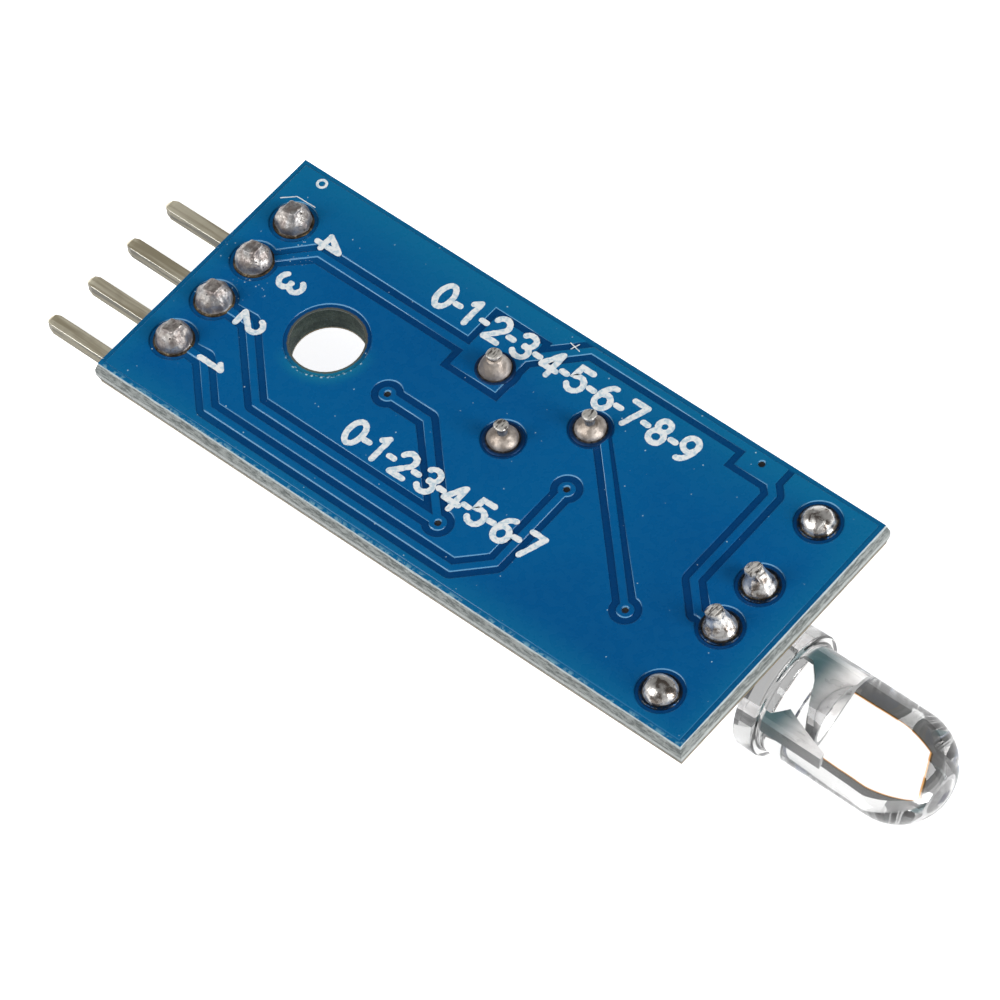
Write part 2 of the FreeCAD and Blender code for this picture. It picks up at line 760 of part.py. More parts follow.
rotor = new_body("trimmer_rotor_body")
rotor_points = [
    (0, rotor_face), (rotor_diameter / 2, rotor_face), (rotor_diameter / 2, flange_low),
    (rotor_flange_diameter / 2, flange_low), (rotor_flange_diameter / 2, flange_high),
    (0, flange_high),
]
revolve(rotor, outline(rotor, "XZ_Plane", rotor_points), "V_Axis")
pocket(rotor, rectangle(rotor, slot_length, slot_width, lift=rotor_face + slot_depth), slot_depth)
pocket(rotor, rectangle(rotor, slot_width, cross_length, lift=rotor_face + slot_depth), slot_depth)
arrow_tip = slot_length / 2 + slot_width / 2
arrow_points = [
    (arrow_tip - slot_width, -slot_width), (arrow_tip, 0), (arrow_tip - slot_width, slot_width),
]
pocket(rotor, outline(rotor, "XY_Plane", arrow_points, lift=rotor_face + slot_depth / 2), slot_depth / 2)
place_trimmer(rotor)
keep("trimmer_rotor", rotor)

seal = doc.addObject("Part::Torus", "trimmer_seal_torus")
bind(seal, Radius1=rotor_diameter / 2 + rotor_clearance + seal_section / 2, Radius2=seal_section / 2)
place(seal, trimmer_x, trimmer_y,
      cavity_floor - seal_seat_depth + seal_section / 2 - board_thickness)
keep("trimmer_seal_ring", seal)

wiper = new_body("trimmer_wiper_body")
pad(wiper, circle(wiper, wiper_diameter, lift=flange_high), wiper_thickness)
for diameter, reach in ((wiper_pip_diameter, wiper_pip_reach), (wiper_hub_diameter, 0)):
    pad(wiper, circle(wiper, diameter, x=reach, lift=flange_high + wiper_thickness), wiper_pip)
place_trimmer(wiper)
keep("trimmer_wiper", wiper)

element = new_body("trimmer_element_body")
pad(element, rectangle(element, cavity_width, cavity_depth, lift=element_low), element_thickness)
place_trimmer(element)
keep("trimmer_element", element)

for number, (x, y) in enumerate(trimmer_pads, 1):
    lead = new_body("trimmer_lead_%d_body" % number)
    radius = trimmer_lead / 2
    head_low = element_high - board_thickness
    head_high = head_low + trimmer_lead_head_height
    lead_points = [
        (0, head_low), (trimmer_lead_head / 2, head_low), (trimmer_lead_head / 2, head_high),
        (radius, head_high), (radius, trimmer_lead_stub - trimmer_lead_bevel),
        (radius - trimmer_lead_bevel, trimmer_lead_stub), (0, trimmer_lead_stub),
    ]
    revolve(lead, outline(lead, "XZ_Plane", lead_points), "V_Axis")
    place(lead, x, y)
    keep("trimmer_lead_%d" % number, lead)

potting_blank = box("potting_blank", trimmer_x, trimmer_y,
                    element_high - board_thickness, cavity_width, cavity_depth,
                    -trimmer_foot - potting_sink - element_high)
trimmer_wires = fuse("trimmer_wires", [nodes["trimmer_lead_%d" % number] for number in (1, 2, 3)])
keep("trimmer_potting", cut("trimmer_potting_cut", potting_blank, trimmer_wires))


# Comparator: a moulded body with a row of bent leads on each side

comparator = new_body("comparator_body_body")
parting = -board_thickness - comparator_lift - comparator_lower
for reverse, height in ((False, comparator_lower), (True, comparator_upper)):
    pad(comparator, rectangle(comparator, comparator_width, comparator_length, lift=parting,
                              x=comparator_x),
        height, reverse=reverse, draft=comparator_draft)
comparator_face = parting - comparator_upper
pocket(comparator, circle(comparator, comparator_dot, lift=comparator_face + comparator_dot_depth,
                          x=comparator_x - comparator_width / 2 + comparator_dot,
                          y=-comparator_length / 2 + comparator_dot), comparator_dot_depth)


def comparator_lead(number, side, y):
    """A gull-wing lead: out of the body's side, over to the board and out along it."""
    body = new_body("comparator_lead_%d_body" % number)
    start = comparator_width / 2
    toe = comparator_span / 2
    heel = toe - foot_length
    seat = -board_thickness
    shoulder = start + foot_thickness
    top = parting + foot_thickness / 2
    low = parting - foot_thickness / 2
    points = [
        (start, low), (shoulder + foot_thickness, low),
        (heel + foot_thickness, seat - foot_thickness), (toe, seat - foot_thickness),
        (toe, seat), (heel, seat), (shoulder, top), (start, top),
    ]
    pad(body, outline(body, "XZ_Plane", points), foot_width, symmetric=True)
    place(body, comparator_x, y)
    if side < 0:
        body.Placement = Placement(body.Placement.Base, Rotation(Vector(0, 0, 1), 180))
    return keep("comparator_lead_%d" % number, body)


comparator_rows = [(side, index) for side in (-1, 1) for index in range(4)]
for number, (side, index) in enumerate(comparator_rows, 1):
    comparator_lead(number, side, (index - 1.5) * comparator_pitch)
keep("comparator_body", comparator)


# Chip parts, flat against the component face

def chip(name, x, y, height):
    """A ceramic chip with a plated cap on each end."""
    plated = height + terminal_plating
    shapes = [box(name + "_core", x, y, -board_thickness - height, chip_length - terminal_plating,
                  chip_width - 2 * terminal_plating, height)]
    for side in (-1, 1):
        centre = x + side * (chip_length - terminal_length) / 2
        shapes.append(box(name + "_cap", centre, y, -board_thickness - plated, terminal_length,
                          chip_width, plated))
    return keep(name, fuse(name + "_fused", shapes))


for number, (x, y) in enumerate(resistor_places, 1):
    chip("resistor_%d" % number, x, y, resistor_height)
for number, (x, y) in enumerate(capacitor_places, 1):
    chip("capacitor_%d" % number, x, y, capacitor_height)

for name, (x, y) in led_places.items():
    base = new_body(name + "_led_base_body")
    pad(base, rectangle(base, chip_length, chip_width, lift=-led_base_height), led_base_height)
    for side in (-1, 1):
        pocket(base, circle(base, led_notch, x=side * chip_length / 2), led_base_height)
    place(base, x, y, -board_thickness)
    keep(name + "_led_base", base)
    lens = new_body(name + "_led_lens_body")
    pad(lens, rectangle(lens, led_lens_length, chip_width, lift=-led_base_height),
        led_lens_height, reverse=True, draft=led_lens_draft)
    place(lens, x, y, -board_thickness)
    keep(name + "_led_lens", lens)


# Solder at the ends of the chip parts and the comparator's feet

def end_fillet(name, x, y, side, width, reach, rise):
    """A wedge of solder that runs down from a terminal's end to its pad."""
    item = doc.addObject("Part::Wedge", name)
    bind(item, Xmin=0, Xmax=reach, X2min=0, X2max=fillet_crest,
         Ymin=0, Ymax=rise, Zmin=0, Zmax=width, Z2min=0, Z2max=width)
    if side > 0:
        item.Placement = Placement(Vector(0, 0, 0), Rotation(Vector(1, 0, 0), -90))
        place(item, x, y - width / 2, -board_thickness)
    else:
        item.Placement = Placement(Vector(0, 0, 0),
                                   Rotation(Vector(0, 0, 1), 180) * Rotation(Vector(1, 0, 0), -90))
        place(item, x, y + width / 2, -board_thickness)
    return item


fillets = []
for x, y in resistor_places + capacitor_places + list(led_places.values()):
    for side in (-1, 1):
        fillets.append(end_fillet("chip_fillet", x + side * chip_length / 2, y, side,
                                  chip_width, chip_fillet_length, chip_fillet_height))
for side, index in comparator_rows:
    fillets.append(end_fillet("foot_fillet", comparator_x + side * comparator_span / 2,
                              (index - 1.5) * comparator_pitch, side,
                              foot_width, foot_fillet_length, foot_thickness))
keep("chip_solder", fuse("chip_solder_fused", fillets))


# Sensor: a clear moulded body on a flat lead frame, lying on its side

def sensor_wire(name, y):
    """The outside of one lead: out of the flange, bent up through the board, end leaning back."""
    body = new_body(name + "_body")
    half = sensor_lead / 2
    inner = sensor_inner_bend
    outer = sensor_inner_bend + sensor_lead
    level = -sensor_drop
    inside = flange_back + frame_start
    neck = lead_joint_height
    points = [
        (sensor_row + half, neck), (sensor_row + half - sensor_lean, sensor_stub),
        (sensor_row - half - sensor_lean, sensor_stub - half),
        (sensor_row - half, neck), (sensor_row - half, level - half + outer),
        (sensor_row - half + outer, level - half), (inside, level - half), (inside, level + half),
        (sensor_row + half + inner, level + half), (sensor_row + half, level + half + inner),
    ]
    pad(body, outline(body, "XZ_Plane", points, {4: (outer, -1), 8: (inner, 1)}),
        sensor_lead, symmetric=True)
    place(body, y=y)
    return body


anvil_wire = sensor_wire("anvil_wire", pitch / 2)
post_wire = sensor_wire("post_wire", -pitch / 2)
frame_edge = flange_back + frame_start
lead_outside = pitch / 2 + sensor_lead / 2
lead_inside = pitch / 2 - sensor_lead / 2

anvil_plate = new_body("anvil_plate")
anvil_end = flange_back + anvil_top
anvil_points = [
    (frame_edge, lead_inside), (flange_back + anvil_waist, anvil_waist_side),
    (anvil_end - anvil_lip, -anvil_inner), (anvil_end, -anvil_inner), (anvil_end, anvil_side),
    (flange_back + anvil_shoulder, anvil_side), (frame_edge, lead_outside),
]
pad(anvil_plate, outline(anvil_plate, "XY_Plane", anvil_points, lift=-sensor_drop),
    sensor_lead, symmetric=True)

cup = new_body("anvil_cup")
cup_floor_level = anvil_end - cup_depth
cup_points = [
    (anvil_end - cup_bowl, 0), (anvil_end, cup_diameter / 2), (anvil_end, cup_mouth / 2),
    (cup_floor_level, cup_floor / 2), (cup_floor_level, 0),
]
revolve(cup, outline(cup, "XZ_Plane", cup_points, {0: (cup_swell, 1)}), "H_Axis")
place(cup, y=cup_offset, z=-sensor_drop)
cup_space = new_body("cup_space")
space_points = [
    (cup_floor_level, 0), (cup_floor_level, cup_floor / 2), (anvil_end, cup_mouth / 2), (anvil_end, 0),
]
revolve(cup_space, outline(cup_space, "XZ_Plane", space_points), "H_Axis")
place(cup_space, y=cup_offset, z=-sensor_drop)
anvil_solid = fuse("anvil_solid", [anvil_wire, anvil_plate, cup])
keep("sensor_anvil_lead", cut("anvil_cut", anvil_solid, cup_space))

post_plate = new_body("post_plate")
post_points = [
    (frame_edge, -lead_outside), (frame_edge, -lead_inside),
    (flange_back + post_flag, post_flag_width - lead_outside),
    (flange_back + post_top, post_tip_width - lead_outside), (flange_back + post_top, -lead_outside),
]
pad(post_plate, outline(post_plate, "XY_Plane", post_points, lift=-sensor_drop),
    sensor_lead, symmetric=True)
keep("sensor_post_lead", fuse("post_fused", [post_wire, post_plate]))

die = doc.addObject("Part::Box", "die")
bind(die, Length=die_height, Width=die_side, Height=die_side)
place(die, cup_floor_level, cup_offset - die_side / 2, -sensor_drop - die_side / 2)
keep("sensor_die", die)

lens_blank = new_body("lens_blank")
dome_start = flange_back + sensor_length - sensor_diameter / 2
lens_points = [
    (flange_back, 0), (flange_back, sensor_flange_diameter / 2),
    (flange_back + sensor_flange, sensor_flange_diameter / 2),
    (flange_back + sensor_flange, sensor_diameter / 2), (dome_start, sensor_diameter / 2),
    (dome_start + sensor_diameter / 2, 0),
]
revolve(lens_blank, outline(lens_blank, "XZ_Plane", lens_points, {4: (sensor_diameter / 2, 1)}),
        "H_Axis")
place(lens_blank, z=-sensor_drop)
lens_tools = fuse("lens_tools", [nodes["sensor_anvil_lead"], nodes["sensor_post_lead"], die])
keep("sensor_lens", cut("sensor_lens_cut", lens_blank, lens_tools))


# Check every object, then write one file for each piece

doc.recompute()
faults = [item.Name for item in doc.Objects
          if "Invalid" in item.State or "Error" in item.State]
for name, item in nodes.items():
    if item.Shape.isNull() or not item.Shape.isValid():
        faults.append(name)
if faults:
    raise RuntimeError("not built: " + ", ".join(faults))

os.makedirs("parts", exist_ok=True)
for name, item in nodes.items():
    item.Shape.exportStep("parts/%s.step" % name)
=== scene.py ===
import json
import math

import bmesh
import bpy
from mathutils import Matrix, Vector, noise


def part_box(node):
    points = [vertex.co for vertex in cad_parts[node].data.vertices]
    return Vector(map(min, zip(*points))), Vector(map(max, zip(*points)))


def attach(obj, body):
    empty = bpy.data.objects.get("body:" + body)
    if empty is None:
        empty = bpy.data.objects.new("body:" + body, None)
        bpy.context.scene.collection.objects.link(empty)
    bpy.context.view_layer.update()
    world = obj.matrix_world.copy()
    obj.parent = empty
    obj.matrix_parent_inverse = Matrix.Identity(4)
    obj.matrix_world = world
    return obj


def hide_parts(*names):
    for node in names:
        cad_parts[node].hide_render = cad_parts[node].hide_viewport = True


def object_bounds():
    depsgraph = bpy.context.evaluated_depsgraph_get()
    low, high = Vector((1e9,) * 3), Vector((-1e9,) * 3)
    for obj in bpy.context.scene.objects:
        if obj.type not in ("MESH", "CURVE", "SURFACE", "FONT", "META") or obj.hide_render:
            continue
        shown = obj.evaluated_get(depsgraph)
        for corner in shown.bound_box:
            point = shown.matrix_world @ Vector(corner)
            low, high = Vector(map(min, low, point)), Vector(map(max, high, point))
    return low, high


# Looks of the light sensor module, in the part's own frame. Blender's lengths are metres; here
# sizes are written in millimetres, times MM where a mesh takes them. Shaders work in millimetres.

MM = 0.001
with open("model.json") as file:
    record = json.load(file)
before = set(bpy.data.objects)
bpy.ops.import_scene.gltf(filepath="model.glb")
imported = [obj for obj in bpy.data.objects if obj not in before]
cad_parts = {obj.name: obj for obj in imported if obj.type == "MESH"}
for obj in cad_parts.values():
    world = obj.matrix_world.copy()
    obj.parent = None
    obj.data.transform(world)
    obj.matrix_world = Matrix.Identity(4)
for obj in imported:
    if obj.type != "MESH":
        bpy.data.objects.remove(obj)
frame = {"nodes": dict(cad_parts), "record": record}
cad_low, cad_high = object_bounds()
nodes = frame["nodes"]

skin_low, skin_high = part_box("solder_side_skin")
BOARD_THICKNESS = -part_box("component_side_skin")[0].z / MM
HOLE_RADIUS = 1.6


def centre_of(node):
    """The middle of a CAD node's box."""
    low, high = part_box(node)
    return (low + high) / 2


# Shader building

def tone(red, green, blue):
    """A colour as a socket takes it."""
    return (red, green, blue, 1.0)


class Shader:
    """A node tree that grows one call at a time; a value is a number, a colour or a socket."""

    def __init__(self, tree):
        self.tree = tree
        self.point = None

    def link(self, value, socket):
        """Put a value into a socket."""
        if isinstance(value, bpy.types.NodeSocket):
            self.tree.links.new(value, socket)
        else:
            socket.default_value = value

    def node(self, kind, operation=None, sockets=None):
        """A new node, with sockets filled by name or number."""
        node = self.tree.nodes.new("ShaderNode" + kind)
        if operation:
            node.operation = operation
        for key, value in (sockets or {}).items():
            self.link(value, node.inputs[key])
        return node

    def math(self, operation, *values):
        """A sum, product, extreme or test; further values are taken up one after another."""
        result = values[0]
        for value in values[1:]:
            result = self.node("Math", operation, {0: result, 1: value}).outputs[0]
        return result

    def plus(self, *values):
        return self.math("ADD", *values)

    def minus(self, first, second):
        return self.math("SUBTRACT", first, second)

    def times(self, *values):
        return self.math("MULTIPLY", *values)

    def least(self, *values):
        return self.math("MINIMUM", *values)

    def most(self, *values):
        return self.math("MAXIMUM", *values)

    def above(self, value, level):
        return self.math("GREATER_THAN", value, level)

    def below(self, value, level):
        return self.math("LESS_THAN", value, level)

    def absolute(self, value):
        return self.node("Math", "ABSOLUTE", {0: value}).outputs[0]

    def vector(self, operation, *values):
        output = "Value" if operation in ("LENGTH", "DISTANCE", "DOT_PRODUCT") else "Vector"
        return self.node("VectorMath", operation, dict(enumerate(values))).outputs[output]

    def axis(self, name, point=None):
        """One coordinate of a point, which is the tree's own unless it is named."""
        return self.node("SeparateXYZ", sockets={0: point or self.point}).outputs[name]

    def span(self, value, low, high, start=0.0, end=1.0):
        """Map a value between low and high smoothly on to start and end."""
        node = self.node("MapRange", sockets=dict(enumerate((value, low, high, start, end))))
        node.interpolation_type = "SMOOTHSTEP"
        return node.outputs[0]

    def fade(self, value, low, high):
        """Fall smoothly from one at low to none at high."""
        return self.span(value, low, high, 1.0, 0.0)

    def band(self, value, start, risen, falling, end):
        """One between the inner two levels and none outside the outer two."""
        return self.times(self.span(value, start, risen), self.fade(value, falling, end))

    def mix(self, share, first, second, strength=None):
        """Two colours mixed by a share, which a strength can weaken."""
        if strength is not None:
            share = self.times(share, strength)
        node = self.node("Mix")
        node.data_type = "RGBA"
        for socket, value in (("Factor", share), ("A", first), ("B", second)):
            self.link(value, node.inputs[socket])
        return node.outputs["Result"]

    def tones(self, pattern, low, high, first, second):
        """Go from one tone to another as a pattern goes from low to high."""
        return self.mix(self.span(pattern, low, high), tone(*first), tone(*second))

    def rays(self):
        """Tests of the kind of ray that asks: camera, glossy and transmission."""
        path = self.node("LightPath")
        return [path.outputs["Is %s Ray" % kind] for kind in ("Camera", "Glossy", "Transmission")]


class Paint(Shader):
    """The shader of a new material; its patterns lie in the part's frame, in millimetres."""

    def __init__(self, name, **sockets):
        self.material = bpy.data.materials.new(name)
        self.material.use_nodes = True
        self.tree = self.material.node_tree
        self.surface = self.tree.nodes["Principled BSDF"]
        for socket, value in sockets.items():
            self.link(value, self.surface.inputs[socket.replace("_", " ")])
        place = self.node("TexCoord").outputs
        self.point = self.vector("MULTIPLY", place["Object"], (1 / MM, 1 / MM, 1 / MM))
        self.facing = place["Normal"]

    def noise(self, scale, detail=2.0, stretch=(1, 1, 1), rough=0.5, distortion=0.0):
        sockets = {"Vector": self.vector("MULTIPLY", self.point, stretch), "Scale": scale,
                   "Detail": detail, "Roughness": rough, "Distortion": distortion}
        return self.node("TexNoise", sockets=sockets).outputs["Fac"]

    def cells(self, scale, stretch=(1, 1, 1)):
        sockets = {"Vector": self.vector("MULTIPLY", self.point, stretch), "Scale": scale}
        return self.node("TexVoronoi", sockets=sockets).outputs["Distance"]

    def bump(self, height, depth, onto=None):
        """Relief from a height between 0 and 1, with its full depth in millimetres."""
        sockets = {"Distance": depth * MM, "Height": height}
        if onto is not None:
            sockets["Normal"] = onto
        return self.node("Bump", sockets=sockets).outputs[0]

    def finish(self, colour, roughness, normal):
        """Plug in what was painted; None leaves a socket at its own value."""
        painted = {"Base Color": colour, "Roughness": roughness, "Normal": normal}
        for socket, value in painted.items():
            if value is not None:
                self.link(value, self.surface.inputs[socket])
        return self.material


# Materials

# Middles of the places by the header where white crumbs lie on the mask
LITTER = ((-4.0, 2.75, 0.0), (-4.35, 0.1, 0.0), (-6.2, 1.1, 0.0))


def from_hole(paint):
    """How far a point lies outside the mounting hole's wall."""
    radius = paint.vector("LENGTH", paint.vector("MULTIPLY", paint.point, (1, 1, 0)))
    return paint.minus(radius, HOLE_RADIUS)


def blue_mask():
    """Glossy blue mask: navy where copper is cleared, painted teal light to the far edge, painted glints,
    pale specks.
    """
    paint = Paint("blue_mask", Coat_Weight=0.06, Coat_Roughness=0.1, Specular_IOR_Level=0.3)
    x, y, z = [paint.axis(name) for name in "XYZ"]
    margin = paint.least(paint.minus(skin_high.y / MM, paint.absolute(y)),
                         paint.minus(skin_high.x / MM, x), paint.minus(x, skin_low.x / MM))
    beyond = from_hole(paint)
    cloud = paint.noise(0.12, 3.0)
    weave = paint.noise(2.2, 2.0, (1, 1, 0.1))
    grain = paint.noise(9.0, 1.0)

    # The ground colour: painted shade darker to the near right, painted light paler to the far edge, and
    # paler at the rims
    blue = paint.tones(cloud, 0.35, 0.65, (0.0, 0.097, 0.29), (0.0, 0.11, 0.31))
    # Painted shade towards the near right
    dusk = paint.times(paint.span(x, 5.0, 24.0), paint.span(y, 4.0, -6.0))
    blue = paint.mix(dusk, blue, tone(0.0, 0.062, 0.205), 0.3)
    # Painted light towards the far edge
    far = paint.span(paint.plus(y, paint.times(cloud, 3.0)), 3.5, 8.0)
    blue = paint.mix(far, blue, tone(0.004, 0.16, 0.32), 0.55)
    blue = paint.mix(paint.span(weave, 0.42, 0.7, 0.0, 0.12), blue, tone(0.002, 0.135, 0.33))
    border = paint.span(paint.plus(margin, paint.times(cloud, 1.2)), 0.6, 2.2, 0.55, 0.0)
    blue = paint.mix(border, blue, tone(0.004, 0.16, 0.33))

    # Cleared lanes, fainter at the edges and round the header
    cleared = paint.times(paint.fade(z, -0.05, -0.022), paint.span(margin, 0.15, 0.3, 0.35, 0.85),
                          paint.span(x, -4.0, 1.0, 0.6, 1.0), paint.span(y, -6.46, -6.38, 0.15, 1.0))
    blue = paint.mix(cleared, blue, tone(0.0, 0.036, 0.14))

    # Painted highlight along the copper's shoulders that face the near side, weaker near the edges away from
    # the header
    glint = paint.vector("DOT_PRODUCT", paint.facing, (0.35, -0.94, 0))
    glint_fade = paint.times(paint.fade(margin, 0.35, 0.5), paint.span(x, 2.0, 12.0, 0.0, 0.8))
    glint = paint.times(paint.span(glint, 0.38, 0.47, 0.0, 0.72), paint.minus(1.0, glint_fade))
    blue = paint.mix(glint, blue, tone(0.2, 0.48, 0.74))

    # The torn fringe of the near edge
    torn = paint.span(paint.noise(3.0, 4.0, rough=0.7), 0.48, 0.58, 0.0, 0.75)
    fringe = paint.times(torn, paint.fade(margin, 0.04, 0.2), paint.fade(y, -6.35, -6.2))
    blue = paint.mix(fringe, blue, tone(0.2, 0.42, 0.52))

    # The mounting hole's brown rim, and painted light in a pale halo on its near side
    # Painted light on the side of the hole that faces the view
    near_side = paint.span(paint.minus(paint.times(x, 0.6), paint.times(y, 0.8)), 0.2, 1.7)
    halo = paint.times(paint.fade(beyond, 0.1, 0.9), near_side)
    blue = paint.mix(halo, blue, tone(0.01, 0.21, 0.33), 0.7)
    rim = paint.fade(paint.plus(beyond, paint.times(grain, 0.08)), 0.1, 0.16)
    blue = paint.mix(rim, blue, tone(0.12, 0.11, 0.055), 0.8)

    # Specks all over, and crumbs by the header and on the hole's near rim
    specks = paint.fade(paint.cells(1.7, (1, 1, 0.01)), 0.04, 0.07)
    dots = [paint.times(specks, paint.span(grain, 0.46, 0.52))]
    chips = paint.fade(paint.cells(6.5), 0.3, 0.42)
    dots.append(paint.times(paint.band(beyond, 0.2, 0.24, 0.33, 0.37), near_side, chips))
    crumbs = paint.fade(paint.cells(5.5, (1, 1, 0.01)), 0.13, 0.2)
    crumbs = paint.times(crumbs, paint.span(grain, 0.47, 0.53))
    for middle in LITTER:
        near = paint.fade(paint.vector("DISTANCE", paint.point, middle), 0.5, 1.0)
        dots.append(paint.times(near, crumbs))
    blue = paint.mix(paint.most(*dots), blue, tone(0.6, 0.78, 0.85), 0.7)

    # The brown burr low on the upright sides
    side = paint.fade(paint.absolute(paint.axis("Z", paint.facing)), 0.3, 0.6)
    blue = paint.mix(paint.times(side, paint.fade(z, -1.25, -1.2)), blue, tone(0.3, 0.24, 0.14))
    relief = paint.bump(grain, 0.0003, paint.bump(paint.noise(0.9, 3.0), 0.004))
    return paint.finish(blue, paint.span(weave, 0.3, 0.7, 0.24, 0.32), relief)


def board_core():
    """Sawn glass-fibre laminate: a bright snapped ridge, painted shade below it, two V-score bands with brown
    edges.
    """
    paint = Paint("board_core", Roughness=0.75)
    fray = paint.noise(2.6, 5.0, (0.5, 0.5, 1), 0.65)
    strands = paint.noise(5.0, 5.0, (0.5, 0.5, 2.0), 0.7)
    level = paint.plus(paint.axis("Z"), paint.times(paint.minus(fray, 0.5), 0.22))
    colour = paint.tones(strands, 0.4, 0.6, (0.15, 0.17, 0.165), (0.42, 0.45, 0.44))
    ridge = paint.band(level, -0.98, -0.9, -0.72, -0.62)
    colour = paint.mix(ridge, colour, tone(0.66, 0.69, 0.68), 0.8)
    colour = paint.mix(paint.span(level, -0.2, -0.14), colour, tone(0.6, 0.68, 0.7))
    # A line of painted shade under the ridge
    crease_shade = paint.band(level, -1.06, -1.01, -0.97, -0.93)
    colour = paint.mix(crease_shade, colour, tone(0.09, 0.08, 0.055), 0.75)
    colour = paint.mix(paint.fade(level, -1.2, -1.12), colour, tone(0.24, 0.18, 0.1), 0.75)
    # The mounting hole's wall painted dark as shade
    hole_wall_shade = paint.tones(fray, 0.35, 0.65, (0.014, 0.03, 0.024), (0.05, 0.075, 0.06))
    colour = paint.mix(paint.fade(from_hole(paint), 0.15, 0.2), colour, hole_wall_shade)
    fibres = paint.noise(7.0, 4.0, (1, 1, 0.6), 0.7)
    return paint.finish(colour, None, paint.bump(fibres, 0.09, paint.bump(fray, 0.12)))


def foot_ring(paint, colour, grain, dark=(0.04, 0.028, 0.016), light=(0.13, 0.095, 0.05)):
    """The dark line where a bead meets its pad: bared copper and flux, with painted shade in the crease."""
    z = paint.axis("Z")
    level = paint.plus(z, paint.times(grain, 0.02))
    ring = paint.times(paint.fade(level, 0.03, 0.075), paint.span(z, -0.5, -0.4))
    return paint.mix(ring, colour, paint.tones(grain, 0.45, 0.65, dark, light))


def level_ring(paint, colour, tint):
    """The level ring between a bead and its moat, in a tint of its own."""
    return paint.mix(paint.band(paint.axis("Z"), -0.05, -0.04, 0.021, 0.027), colour, tint)


def torn_end(paint, colour):
    """Colour a lead's nipped end with the lines torn across it; gives the lines and the end too."""
    torn = paint.noise(5.0, 2.0, (2.0, 0.5, 0.1), distortion=0.7)
    nipped = paint.span(paint.axis("Z"), 0.84, 0.9)
    bared = paint.tones(torn, 0.36, 0.5, (0.12, 0.11, 0.1), (0.7, 0.67, 0.62))
    return paint.mix(nipped, colour, bared), torn, nipped


def bright_solder():
    """Smooth tin solder with faint dimples, a little grey dulling and a brown foot."""
    paint = Paint("bright_solder", Metallic=0.82)
    patches = paint.noise(2.3, 4.0, distortion=0.6)
    stain = paint.noise(7.0, 3.0)
    colour = paint.tones(patches, 0.36, 0.56, (0.26, 0.22, 0.19), (0.88, 0.85, 0.81))
    colour = foot_ring(paint, colour, stain)
    bared = paint.tones(stain, 0.4, 0.65, (0.008, 0.04, 0.11), (0.045, 0.05, 0.05))
    colour = level_ring(paint, colour, bared)
    colour, torn, nipped = torn_end(paint, colour)
    rough = paint.most(paint.span(patches, 0.35, 0.65, 0.24, 0.36), paint.times(nipped, 0.4))
    dimples = paint.noise(3.0, 2.0)
    return paint.finish(colour, rough, paint.bump(torn, 0.02, paint.bump(dimples, 0.035)))


def fluxed_solder():
    """Half-matt beige solder under a film of old flux, with a nearly black foot."""
    paint = Paint("fluxed_solder", Metallic=0.6)
    film = paint.noise(1.6, 3.0)
    grain = paint.noise(7.0, 3.0)
    colour = paint.tones(film, 0.38, 0.62, (0.38, 0.32, 0.27), (0.7, 0.62, 0.55))
    colour = paint.mix(paint.span(grain, 0.5, 0.75, 0.0, 0.4), colour, tone(0.2, 0.16, 0.13))
    colour = foot_ring(paint, colour, grain, (0.004, 0.005, 0.008), (0.03, 0.025, 0.02))
    colour = level_ring(paint, colour, tone(0.001, 0.035, 0.12))
    rough = paint.span(film, 0.35, 0.65, 0.42, 0.54)
    return paint.finish(colour, rough, paint.bump(grain, 0.02, paint.bump(film, 0.05)))


def dull_solder():
    """Dull mauve-grey solder with fine specks, a few dark pits and a brown foot."""
    paint = Paint("dull_solder", Metallic=0.75)
    grain = paint.noise(2.2, 3.0)
    cast = paint.noise(1.1, 2.0)
    fine = paint.noise(8.0, 3.0, rough=0.6)
    colour = paint.tones(grain, 0.38, 0.62, (0.3, 0.26, 0.245), (0.62, 0.575, 0.535))
    colour = paint.mix(paint.span(cast, 0.45, 0.65, 0.0, 0.4), colour, tone(0.26, 0.31, 0.36))
    colour = paint.mix(paint.span(fine, 0.48, 0.62, 0.0, 0.4), colour, tone(0.2, 0.165, 0.14))
    pits = paint.times(paint.fade(paint.cells(3.0), 0.1, 0.16), paint.span(grain, 0.48, 0.53))
    colour = paint.mix(pits, colour, tone(0.02, 0.016, 0.014), 0.9)
    colour = foot_ring(paint, colour, grain)
    creases = paint.noise(2.6, 2.0, (1, 1, 0.6), distortion=1.2)
    relief = paint.bump(paint.minus(creases, paint.times(pits, 0.5)), 0.06)
    return paint.finish(colour, paint.span(fine, 0.35, 0.65, 0.36, 0.5), paint.bump(fine, 0.022, relief))


def pin_metal():
    """Champagne-coloured plated brass: bright rolled faces, upright sides painted dark as shade, a painted
    edge highlight.
    """
    paint = Paint("pin_metal", Metallic=0.5)
    drawn = paint.noise(4.5, 3.0, (0.06, 1, 1))
    stain = paint.noise(0.9, 4.0)
    colour = paint.tones(drawn, 0.38, 0.62, (0.66, 0.58, 0.4), (0.95, 0.88, 0.68))
    colour = paint.mix(paint.span(stain, 0.5, 0.75, 0.0, 0.4), colour, tone(0.5, 0.42, 0.28))
    # The upright sides painted dark as shade
    upright_shade = paint.span(paint.absolute(paint.axis("Y", paint.facing)), 0.75, 0.9)
    shade_tones = paint.tones(drawn, 0.45, 0.55, (0.05, 0.045, 0.03), (0.22, 0.2, 0.14))
    colour = paint.mix(upright_shade, colour, shade_tones, 0.95)
    # A painted highlight along the edges that face up and to the near side
    edge = paint.vector("DOT_PRODUCT", paint.facing, (0, -0.71, 0.71))
    colour = paint.mix(paint.span(edge, 0.9, 0.95, 0.0, 0.8), colour, tone(1.0, 0.97, 0.9))
    return paint.finish(colour, paint.span(drawn, 0.3, 0.7, 0.28, 0.46), paint.bump(drawn, 0.012))


